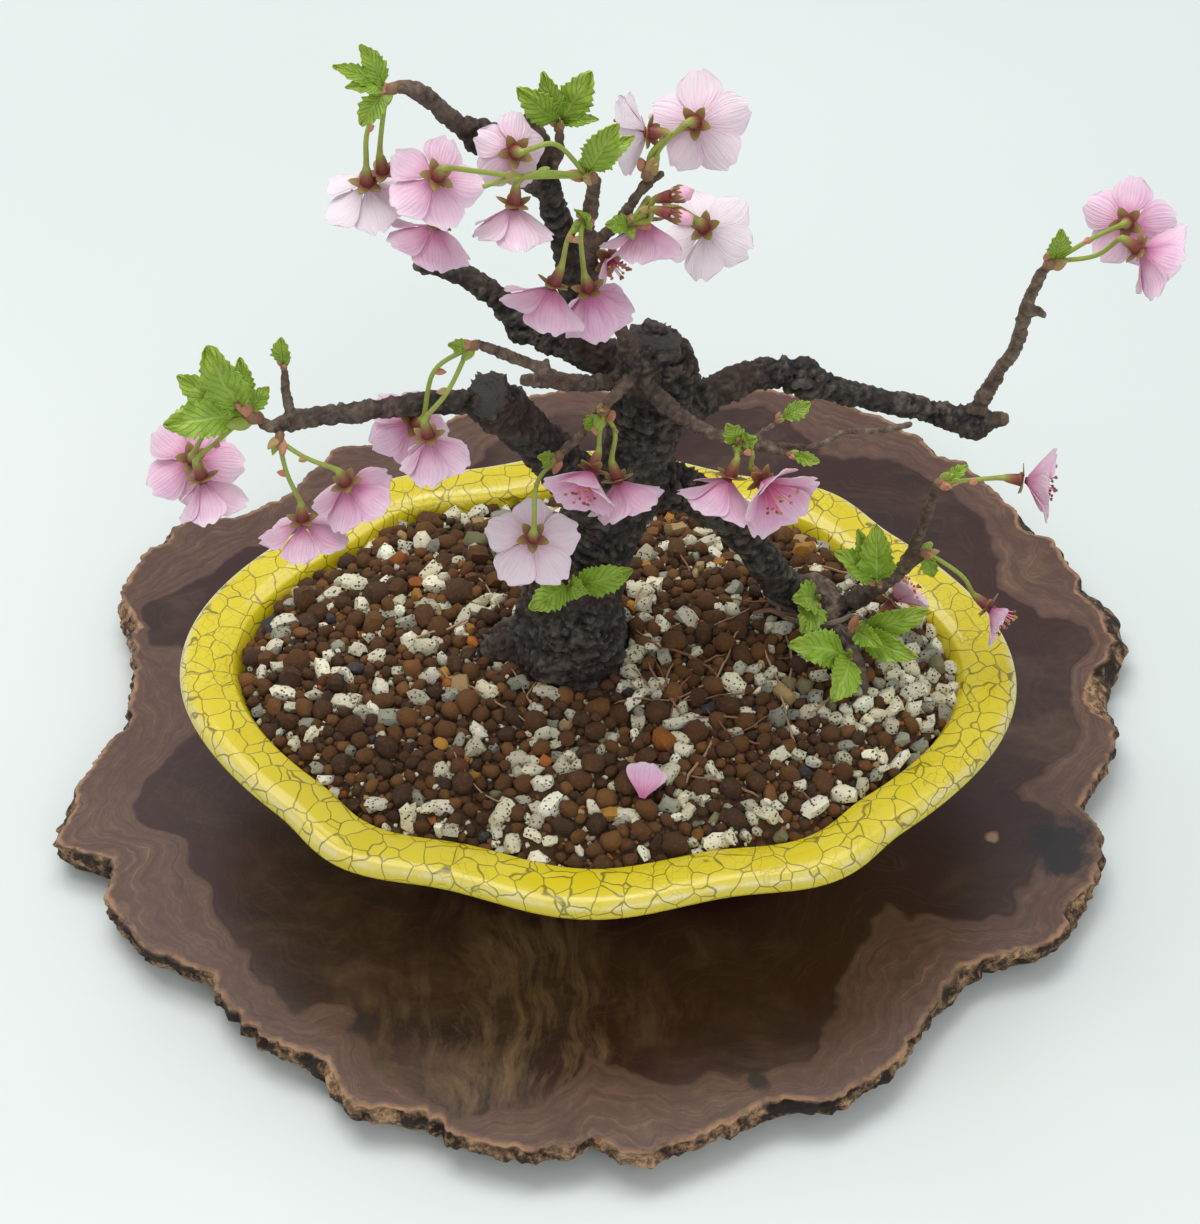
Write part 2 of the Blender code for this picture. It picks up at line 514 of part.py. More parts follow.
def build_soil():
    """Make the soil: it fills the pot, and its top stands in granules with holes for the stems."""
    rings = [lobed_ring(inset, height) for inset, height in SOIL_SIDES]
    rim = rings[-1]
    rows = int(POT_B / GRANULE_PITCH) + 2
    columns = int(POT_A / GRANULE_PITCH) + rows
    flat = [Vector((p.x, p.y)) for p in rim]
    chance = random.Random(SEED)
    inner = []
    for j in range(-rows, rows + 1):
        for i in range(-columns, columns + 1):
            x = GRANULE_PITCH * (i + j / 2)
            y = GRANULE_PITCH * j * 0.866
            reach = min((Vector((x, y)) - p).length for p in flat)
            inside = (x / (POT_A - 17.4)) ** 2 + (y / (POT_B - 17.4)) ** 2
            if inside < 0.94 and reach > 0.55 * GRANULE_PITCH:
                x += chance.uniform(-0.7, 0.7)
                y += chance.uniform(-0.7, 0.7)
                raised = (i - j) % 3 == 0
                rise = GRANULE_RISE * chance.uniform(0.7, 1.15) if raised else 0.0
                inner.append((x, y, soil_height(x, y) + rise))
    corners = flat + [Vector((x, y)) for x, y, z in inner]
    border = [list(range(len(flat)))]
    placed = delaunay_2d_cdt(corners, [], border, 1, 1e-5)
    points, walls = loft(rings, cap_end=False)
    base = len(points) - len(rim)
    order = []
    for sources in placed[3]:
        if sources[0] < len(flat):
            order.append(base + sources[0])
        else:
            order.append(len(points))
            points.append(Vector(inner[sources[0] - len(flat)]))
    lids = [tuple(order[k] for k in face) for face in placed[2]]
    body = mesh_of(points, walls + lids)
    room = 1.5 * GAP
    stems = wood_meshes(BURIED, grow=room)
    stems += [knot_mesh(centre, radius + room, cells) for centre, radius, cells in KNOTS]
    body = cut_solid(body, [join_solids(stems, "EXACT")])
    return make_object("soil", largest_piece(body), "soil", 0.9)


def largest_piece(mesh):
    """Keep the biggest connected body of a mesh and drop loose scraps."""
    shape = bmesh.new()
    shape.from_mesh(mesh)
    left = set(shape.verts)
    groups = []
    while left:
        stack = [left.pop()]
        group = set(stack)
        while stack:
            for edge in stack.pop().link_edges:
                for vert in edge.verts:
                    if vert in left:
                        left.discard(vert)
                        group.add(vert)
                        stack.append(vert)
        groups.append(group)
    groups.sort(key=len)
    scraps = [vert for group in groups[:-1] for vert in group]
    bmesh.ops.delete(shape, geom=scraps, context="VERTS")
    shape.to_mesh(mesh)
    shape.free()
    return mesh


def build_wood():
    """Make all the wood of the tree as one body."""
    meshes = wood_meshes(WOOD)
    meshes += [knot_mesh(centre, radius, cells) for centre, radius, cells in KNOTS]
    return make_object("tree_wood", largest_piece(join_solids(meshes, "EXACT")), "bark", 0.9)


def bloom_frame(facing, turn):
    """Give a bloom's own directions: the way it faces, and two across it."""
    out = Vector(facing).normalized()
    up = (VIEW_UP - out * VIEW_UP.dot(out)).normalized()
    up = Matrix.Rotation(math.radians(turn), 3, out) @ up
    return out, up, out.cross(up)


def thicken(points, normals, faces, edge, thick):
    """Close a sheet of faces with a lower side and a wall round its edge."""
    total = len(points)
    lower = [p - n * thick for p, n in zip(points, normals)]
    sheet = faces + [tuple(total + i for i in reversed(face)) for face in faces]
    for here, there in zip(edge, edge[1:] + edge[:1]):
        sheet += [(here, there, total + there), (here, total + there, total + here)]
    return mesh_of(points + lower, sheet)


def build_bloom(name):
    """Make a bloom's petals, joined at their feet in one thin closed sheet."""
    place, facing, turn, opening, length, petals = BLOOMS[name]
    out, up, across = bloom_frame(facing, turn)
    foot = Vector(place) + out * (GAP + PETAL_THICK)
    points = []
    normals = []

    def add(point, normal):
        points.append(point)
        normals.append(normal)
        return len(points) - 1

    def away(fifths):
        angle = TAU * fifths / 5
        return up * math.cos(angle) + across * math.sin(angle)

    hub = [add(foot + away(k - 0.5) * HUB_RADIUS / math.cos(math.pi / 5), out) for k in range(5)]
    faces = [(hub[0], hub[i], hub[i + 1]) for i in (1, 2, 3)]
    edge = []
    for k in range(5):
        edge.append(hub[k])
        if k >= petals:
            continue
        way = away(k)
        beside = out.cross(way)
        reach = HUB_RADIUS
        rise = 0.0
        last = 0.0
        lefts = [hub[k]]
        rights = [hub[(k + 1) % 5]]
        for share, half in PETAL_ROWS:
            bend = math.radians(opening + PETAL_CURL * (0.5 * (share + last) - 0.5))
            reach += length * (share - last) * math.sin(bend)
            rise += length * (share - last) * math.cos(bend)
            last = share
            lean = math.radians(opening + PETAL_CURL * (share - 0.5))
            normal = out * math.sin(lean) - way * math.cos(lean)
            centre = foot + way * reach + out * rise
            half = half * length / 12
            room = (reach - PETAL_CUP * half * half * math.cos(lean)) * math.tan(math.pi / 5)
            half = min(half, room - PETAL_CLEAR)
            cup = normal * PETAL_CUP * half * half
            lefts.append(add(centre - beside * half + cup, normal))
            rights.append(add(centre + beside * half + cup, normal))
        notch = PETAL_NOTCH * length
        middle = add(centre - way * notch * math.sin(lean) - out * notch * math.cos(lean), normal)
        for low in range(len(lefts) - 1):
            a, b, c, d = lefts[low], rights[low], rights[low + 1], lefts[low + 1]
            if low < len(lefts) - 2:
                faces += [(a, b, c), (a, c, d)]
            else:
                faces += [(a, b, middle), (a, middle, d), (b, c, middle)]
        edge += lefts[1:] + [middle] + rights[:0:-1]
    return make_object("petals_" + name, thicken(points, normals, faces, edge, PETAL_THICK), "petal", 0.6)


def stalk_mesh(start, via, tip, facing, turn):
    """Make a stalk that swells to a calyx and opens in a star of five sepals."""
    out, up, across = bloom_frame(facing, turn + 36)
    tip = Vector(tip)
    back = [(0.0, CALYX_RADIUS), (1.0, STALK_RADIUS * 1.3)]
    path = [Vector((*(tip - out * (0.7 + CALYX_LENGTH * share)), radius)) for share, radius in back]
    ends = [tuple(path[-1])]
    if via:
        ends.append((*via, STALK_RADIUS))
    ends.append((*start, STALK_RADIUS))
    length = (path[-1].xyz - Vector(start)).length
    path += smooth_path(ends, max(5.0, length / 1.5))[1:]
    rings = tube_rings(path, STALK_SIDES, start=up)
    points, faces = loft(rings, cap_start=False)
    star = []
    for k in range(10):
        angle = TAU * k / 10
        reach = SEPAL_REACH if k % 2 == 0 else CALYX_RADIUS * 1.25
        rise = reach / math.tan(math.radians(SEPAL_OPEN)) - 0.35
        way = up * math.cos(angle) - across * math.sin(angle)
        star.append(tip + way * reach + out * (rise - 0.6))
    lower = len(points)
    upper = lower + 10
    points = points + star + [p + out * 0.6 for p in star] + [tip.copy()]
    crown = len(points) - 1
    for k in range(5):
        leaf, notch, following = lower + 2 * k, lower + 2 * k + 1, lower + (2 * k + 2) % 10
        here, there = k, (k + 1) % 5
        faces += [(here, leaf, notch), (here, notch, there), (there, notch, following)]
    for k in range(10):
        j = (k + 1) % 10
        faces += [(lower + k, lower + j, upper + j), (lower + k, upper + j, upper + k)]
        faces.append((upper + k, upper + j, crown))
    return mesh_of(points, faces)


def leaf_mesh(base, tip, width):
    """Make a thin arched leaf with a saw toothed edge, the same on both faces."""
    base = Vector(base)
    along = Vector(tip) - base
    length = along.length
    along.normalize()
    face = (VIEW_BACK - along * VIEW_BACK.dot(along)).normalized()
    side = along.cross(face)
    rows = 2 if length > 11 else 1
    middle = []
    lefts = []
    rights = []
    top = []

    def add(point):
        top.append(point)
        return len(top) - 1

    for i in range(2 * rows + 1):
        share = i / (2 * rows)
        half = max(0.35, 0.5 * width * math.sin(math.pi * share ** 0.8) ** 0.8) if 0 < i < 2 * rows else 0.35
        half *= 1 + TOOTH if i % 2 else 1 - TOOTH
        spot = base + along * length * share + face * LEAF_ARCH * length * math.sin(math.pi * share)
        reach = along * (0.07 * length if i % 2 else 0.0)
        fold = face * 0.22 * half
        if i % 2 == 0:
            middle.append(add(spot))
        lefts.append(add(spot - side * half + reach + fold))
        rights.append(add(spot + side * half + reach + fold))
    faces = []
    for row in range(rows):
        low, high = middle[row], middle[row + 1]
        a, b, c = lefts[2 * row:2 * row + 3]
        faces += [(low, b, a), (low, high, b), (high, c, b)]
        a, b, c = rights[2 * row:2 * row + 3]
        faces += [(low, a, b), (low, b, high), (high, b, c)]
    edge = lefts + [middle[-1]] + rights[::-1] + [middle[0]]
    return thicken(top, [face] * len(top), faces, edge, LEAF_THICK)


def spray_seat(spray):
    """Give the middle of a spray's bud, which sits a gap away from its wood."""
    spot, thick, way = spray["seat"]
    return Vector(spot) + Vector(way).normalized() * (thick * 1.2 + 1.5 * GAP + spray["bud"])


def build_spray(name):
    """Make a bud with the stalks, calyxes and leaves that come out of it, as one body."""
    spray = SPRAYS[name]
    seat = spray_seat(spray)
    meshes = [knot_mesh(seat, spray["bud"], 1, 0.0)]
    for bloom, via in spray["blooms"]:
        place, facing, turn = BLOOMS[bloom][:3]
        meshes.append(stalk_mesh(seat, via, place, facing, turn))
    for place, facing, via in spray["spent"]:
        meshes.append(stalk_mesh(seat, via, place, facing, 0))
    for tip, width in spray["leaves"]:
        start = seat + (Vector(tip) - seat).normalized() * 0.3 * spray["bud"]
        meshes.append(leaf_mesh(start, tip, width))
    return make_object(name, join_solids(meshes, "MANIFOLD"), "green", 0.6)


def build_fallen_petal():
    """Make the petal that has dropped on the soil."""
    (x, y), length, width = FALLEN_PETAL
    z = soil_height(x, y) + GRANULE_RISE * 1.15 + PETAL_THICK + GAP
    shares = [(-0.5, 0.25), (-0.1, 0.85), (0.3, 1.0), (0.5, 0.6)]
    top = []
    for share, wide in shares:
        rise = 1.2 * share * share
        for side in (-1, 0, 1):
            top.append(Vector((x + side * width / 2 * wide, y + length * share, z + rise + 0.8 * abs(side))))
    faces = []
    for row in range(len(shares) - 1):
        for side in (0, 1):
            a = row * 3 + side
            faces += [(a, a + 1, a + 4), (a, a + 4, a + 3)]
    edge = [0, 1, 2, 5, 8, 11, 10, 9, 6, 3]
    mesh = thicken(top, [Vector((0, 0, 1))] * len(top), faces, edge, PETAL_THICK)
    return make_object("petal_fallen", mesh, "petal", 0.6)


def clear_scene():
    """Remove what the scene already holds."""
    for item in list(bpy.data.objects):
        bpy.data.objects.remove(item)


def main():
    """Build the whole bonsai."""
    clear_scene()
    build_slab()
    build_pot()
    build_screens()
    build_soil()
    build_wood()
    for name in BLOOMS:
        build_bloom(name)
    for name in SPRAYS:
        build_spray(name)
    build_fallen_petal()


main()
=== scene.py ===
"""Cherry blossom bonsai: the looks of every piece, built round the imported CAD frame.

The tables of places are millimetres in the frame's axes; meshes are made in metres, with Z up.
"""

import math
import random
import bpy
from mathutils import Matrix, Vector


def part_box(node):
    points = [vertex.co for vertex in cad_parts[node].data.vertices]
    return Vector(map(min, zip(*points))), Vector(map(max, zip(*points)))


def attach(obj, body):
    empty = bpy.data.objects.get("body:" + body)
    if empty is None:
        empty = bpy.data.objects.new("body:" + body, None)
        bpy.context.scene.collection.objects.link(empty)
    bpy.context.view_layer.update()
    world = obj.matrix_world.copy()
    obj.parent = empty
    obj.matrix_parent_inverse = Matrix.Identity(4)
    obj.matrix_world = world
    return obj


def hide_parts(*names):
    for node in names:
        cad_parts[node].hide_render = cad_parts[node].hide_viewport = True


bl_info = {
    "name": "Cherry Blossom Bonsai",
    "version": (1, 0, 0),
    "blender": (4, 5, 0),
    "location": "View3D > Sidebar > Bonsai",
    "description": "Builds a flowering bonsai in a crackle glazed pot on a slab of burl wood",
    "category": "Add Mesh",
}

import bmesh
import bpy
import numpy as np
from bpy.props import FloatProperty, FloatVectorProperty, IntProperty, PointerProperty
from mathutils import Matrix, Quaternion, Vector, noise
from mathutils.bvhtree import BVHTree
from mathutils.kdtree import KDTree

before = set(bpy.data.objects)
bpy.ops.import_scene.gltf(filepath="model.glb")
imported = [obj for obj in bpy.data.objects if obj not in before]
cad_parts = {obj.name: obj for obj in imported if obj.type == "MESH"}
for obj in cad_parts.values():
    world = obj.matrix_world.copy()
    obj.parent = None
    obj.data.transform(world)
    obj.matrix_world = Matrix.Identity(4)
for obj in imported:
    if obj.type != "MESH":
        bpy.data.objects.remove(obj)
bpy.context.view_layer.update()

MM = 0.001
TAU = 2 * math.pi

# Pot: half length, half width, the angles where its lobes meet, and (inset, height) down its section
POT_A = 120.0
POT_B = 90.5
LOBE_EDGES = [-41, 41, 71, 109, 139, 221, 251, 289, 319]
LOBE_DEPTH = 0.045
POT_OUTER = [
    (47.0, 18.8), (39.0, 23.0), (14.0, 59.0), (3.5, 63.0), (0.3, 65.8), (0.2, 67.6), (0.9, 69.2),
    (2.6, 70.2), (6.0, 70.6), (10.5, 70.3), (14.4, 69.1), (16.6, 66.6), (24.0, 49.0), (39.0, 26.8),
    (46.0, 24.6)]
FOOT_PLACES = [(50, 24), (-50, 24), (50, -24), (-50, -24)]
DRAIN_X = 34.0
DRAIN_RADIUS = 7.0
POT_POINTS = 240
# The glaze is worn about the lip's height; below the clay's height, within its reach, there is none
LIP_HEIGHT = 69.3
CLAY_HEIGHT = 18.9
CLAY_REACH = 80.0

# Slab: heights up its crumbling edge, and insets on over its top
SLAB_EDGE_HEIGHTS = [0.0, 1.2, 2.4, 3.6, 4.8, 6.0, 7.2, 8.4, 9.6, 10.8, 11.9, 12.8, 13.5, 13.9]
SLAB_TOP_INSETS = [1.4, 3.0, 5.0, 8.0, 12.0, 18.0, 26.0, 38.0, 55.0, 80.0]
SLAB_SPAN = 84.0
SLAB_TOP = 14.0
SLAB_MIDDLE = Vector((0, 26, 0))
STREAKS_MIDDLE = (-0.014, -0.092, 0.014)
# Eyes in the burl: (x, y), reach, colour
BURL_EYES = [
    ((138, -18), 13.0, (0.010, 0.009, 0.011)), ((117, -14), 2.6, (0.34, 0.22, 0.12)),
    ((-62, -88), 7.0, (0.028, 0.014, 0.013)), ((48, -104), 4.0, (0.022, 0.012, 0.011))]

# Soil: how far it keeps inside the pot's outline, its usual height, and the range that its top keeps to
SOIL_INSET = 16.8
SOIL_LEVEL = 71.0
SOIL_LOWEST = 62.0
SOIL_HIGHEST = 84.0
COARSE_GRAINS = 520
MEDIUM_GRAINS = 2380
TRIES = 26
PUMICE_MOST = 2.9
SOIL_BROWN = (0.060, 0.027, 0.010)
DRY_THREADS = 44
DRY_ROOTS = 14
DRY_ROOTS_START = (60, 12, 77)

# Wood: the middle line of every limb as (x, y, z, radius)
WOOD = {
    "trunk": [
        (-8, 1, 47, 14), (-8, 1, 60, 16), (-8, 1, 72, 17.5), (-8, 2, 80, 16), (-8, 3, 89, 14.5),
        (-5, 6, 102, 13), (1, 9, 116, 11.5), (8, 13, 130, 10), (12, 16, 144, 9.5), (14, 18, 156, 10.5),
        (17, 20, 165, 9.5), (19, 21, 170, 7)],
    "trunk_knuckle": [(9, 13, 161, 6), (12, 15, 168, 9), (14, 17, 174, 9), (15, 18, 178, 6)],
    "cut_branch": [(3, 8, 122, 8), (-10, 1, 147, 6.5), (-19, -3, 163, 6.2), (-29, -8, 179, 6.8)],
    "arm_left": [
        (-26, -7, 175, 4.2), (-38, -10, 178, 3.2), (-50, -13, 179, 2.8), (-63, -16, 179, 2.6),
        (-76, -19, 179, 2.5), (-83, -21, 178, 1.9), (-86, -21, 181, 1.4)],
    "arm_left_spur": [(-78, -19, 180, 1.7), (-79, -18, 188, 1.3), (-79, -17, 194, 1.1)],
    "arm_right": [
        (17, 16, 150, 6.8), (28, 22, 153, 5.2), (40, 27, 156, 4.2), (53, 31, 154, 4.4), (65, 32, 148, 3.6),
        (78, 32, 144, 3.3), (90, 31, 142, 3.3), (101, 29, 140, 3.6), (111, 27, 143, 1.9)],
    "arm_right_rise": [
        (102, 29, 141, 2.6), (107, 27, 158, 2.0), (111, 24, 172, 1.9), (112, 20, 190, 1.8),
        (114, 17, 202, 1.6), (115, 15, 207, 1.4)],
    "arm_right_stub": [(112, 21, 186, 1.5), (115, 20, 188, 1.3), (117, 19, 187, 1.0)],
    "leader": [
        (12, 19, 164, 6.5), (1, 20, 168, 5), (-5, 21, 175, 4), (-7, 22, 187, 3.6), (-9, 22, 203, 3.4),
        (-12, 20, 219, 3.3), (-14, 18, 233, 3.0), (-15, 16, 243, 2.5), (-18, 14, 251, 2.1)],
    "leader_hook": [(-17, 14, 249, 1.8), (-20, 12, 252, 1.7), (-22, 11, 250, 1.3)],
    "crown_left": [
        (-12, 19, 223, 2.8), (-19, 16, 232, 2.6), (-24, 12, 242, 3.2), (-29, 9, 249, 4), (-34, 6, 255, 2.5),
        (-39, 3, 263, 2.3), (-43, 0, 269, 2.2), (-46, -1, 271, 1.8), (-48, -2, 272, 1.5)],
    "back_left": [
        (-2, 20, 169, 4.4), (-13, 24, 170, 3.8), (-21, 27, 174, 3.4), (-27, 30, 179, 3.4),
        (-34, 33, 183, 3.2), (-42, 36, 185, 3.1), (-49, 38, 184, 2.5)],
    "crown_mid": [
        (-7, 21, 182, 2.8), (-1, 17, 195, 2.3), (-2, 14, 206, 2.1), (-3, 11, 217, 2.0), (-2, 8, 228, 1.9),
        (-1, 6, 237, 1.7), (-1, 5, 240, 1.5)],
    "crown_right": [
        (-2, 12, 212, 1.6), (2, 11, 218, 1.6), (6, 10, 224, 1.5), (9, 10, 230, 1.4), (12, 11, 234, 1.4),
        (16, 12, 237, 1.2)],
    "top_spur": [(-13, 18, 231, 1.6), (-10, 17, 239, 1.3), (-10, 16, 246, 1.2)],
    "front_stem": [(12, 15, 164, 4), (9, 10, 174, 3.2), (7, 10, 184, 2.2), (4, 12, 189, 1.5)],
    "front_right": [
        (9, 9, 173, 2.8), (15, 5, 169, 2.5), (21, 2, 165, 2.3), (30, -1, 161, 1.8), (39, -3, 160, 1.6),
        (50, -5, 158, 1.1)],
    "front_right_twig": [
        (41, -3, 160, 1.1), (57, 0, 156, 1.0), (66, 4, 158, 1.0), (75, 8, 155, 1.0), (84, 12, 154, 1.0)],
    "front_right_spur": [(41, -3, 160, 1.0), (44, -2, 163, 0.9), (47, -1, 165, 0.8)],
    "front_down": [
        (9, 8, 172, 2.0), (4, 1, 171, 1.6), (-1, -5, 168, 1.4), (-6, -9, 164, 1.3), (-9, -11, 162, 1.2)],
    "front_left": [(12, 14, 166, 3.2), (1, 7, 171, 2.4), (-10, 1, 176, 2.0), (-19, -4, 181, 1.7)],
    "front_left_tip": [(-9, 2, 176, 1.6), (-16, -3, 185, 1.6), (-23, -8, 193, 1.6), (-30, -11, 199, 1.3)],
    "front_left_spur": [(-13, -1, 180, 1.1), (-13, -3, 187, 0.9)],
    "low_arch": [
        (9, 13, 134, 8), (25, 15, 124, 6), (38, 17, 111, 5.2), (47, 18, 94, 5), (55, 19, 77, 5.6),
        (58, 19, 66, 6), (58, 19, 54, 5)],
    "low_stem": [
        (54, 18, 77, 4.5), (65, 17, 77, 3.4), (72, 16, 81, 2.9), (78, 15, 87, 2.6), (84, 14, 95, 2.3),
        (90, 13, 104, 1.9)],
    "low_twig": [(86, 14, 97, 2.0), (89, 12, 112, 1.7), (91, 10, 125, 1.6), (92, 8, 136, 1.4)],
    "root_left": [(-10, 2, 74, 11), (-20, 3, 74, 8.5), (-27, 1, 73, 7), (-33, -3, 70, 4.5)],
    "root_front": [(-8, 0, 73, 12), (-4, -9, 72, 8), (-1, -15, 69, 5)],
    "root_down": [
        (58, 18, 76, 3.0), (67, 12, 77, 2.2), (71, 5, 76, 2.0), (75, -4, 74, 1.8), (76, -13, 71, 1.5)],
    "root_curl": [
        (56, 20, 74, 2.2), (57, 25, 79, 2.0), (64, 23, 82, 1.9), (68, 16, 80, 1.7), (63, 9, 77, 1.6),
        (57, 9, 75, 1.5)],
}

BLOOMS = {
    "crown_white": ((-56, -7, 246), (-0.04, 0.11, -0.99), 20, 64, 12, 5),
    "upper_left_back": ((-38, -15, 255), (-0.32, 0.42, -0.85), 20, 76, 12, 5),
    "upper_left_low": ((-39, -12, 238), (-0.39, -0.16, -0.9), 50, 61, 12, 5),
    "upper_left_behind": ((-20, -3, 254), (-0.32, 0.75, -0.57), 4, 61, 10, 5),
    "upper_left_near": ((-20, -9, 242), (-0.1, -0.26, -0.95), 30, 55, 12, 5),
    "upper_mid_left": ((-11, -7, 215), (-0.38, -0.32, -0.87), 60, 58, 13, 5),
    "upper_mid_right": ((-2, 0, 208), (0.19, 0.11, -0.97), 19, 46, 13, 5),
    "crown_right_back": ((24, 18, 248), (0.3, 0.73, -0.61), 0, 74, 13, 5),
    "crown_right_left": ((12, 15, 247), (-0.92, 0.31, -0.25), 20, 60, 11, 5),
    "mid_right_white": ((27, 20, 213), (0.3, 0.46, -0.84), 40, 72, 13, 5),
    "mid_right_pink": ((12, 10, 223), (-0.06, -0.35, -0.93), 53, 52, 12, 5),
    "inner_small": ((3, 12, 208), (0.49, -0.86, 0.14), 30, 44, 8, 2),
    "far_left_back": ((-105, -19, 164), (-0.14, 0.59, -0.79), 20, 73, 13, 5),
    "far_left_hanging": ((-100, -33, 170), (0.25, -0.16, -0.95), 12, 49, 12, 5),
    "left_hanging": ((-76, -29, 152), (0.01, -0.1, -0.99), 36, 67, 12, 5),
    "left_right": ((-64, -26, 163), (0.3, 0.15, -0.94), 40, 66, 12, 4),
    "front_left_back": ((-47, -13, 173), (-0.44, 0.5, -0.75), 27, 62, 12, 5),
    "front_left_near": ((-42, -26, 180), (0.17, -0.02, -0.99), 40, 50, 12, 5),
    "front_low_white": ((-16, -27, 146), (-0.08, 0.47, -0.88), 0, 72, 13, 5),
    "front_mid_open": ((-1, -19, 163), (-0.31, -0.87, -0.39), 36, 53, 12, 5),
    "front_mid_hanging": ((6, -14, 155), (0.3, -0.33, -0.88), 30, 55, 12, 5),
    "front_right_hanging": ((35, -14, 157), (-0.35, -0.37, -0.84), 30, 55, 13, 5),
    "front_right_open": ((44, -16, 158), (0.53, -0.84, -0.09), 36, 51, 14, 5),
    "right_tip_back": ((134, 16, 221), (0.26, 0.77, -0.58), 10, 73, 12, 5),
    "right_tip_side": ((136, 3, 223), (0.82, -0.04, -0.57), 20, 56, 12, 5),
    "low_side": ((116, 8, 138), (0.9, -0.14, 0), 36, 58, 12, 5),
    "low_shedding": ((111, 8, 88), (0.75, -0.57, -0.27), 100, 50, 10, 2),
    "low_hidden": ((85, 18, 80), (0.71, 0.44, 0.55), 0, 55, 10, 5),
}

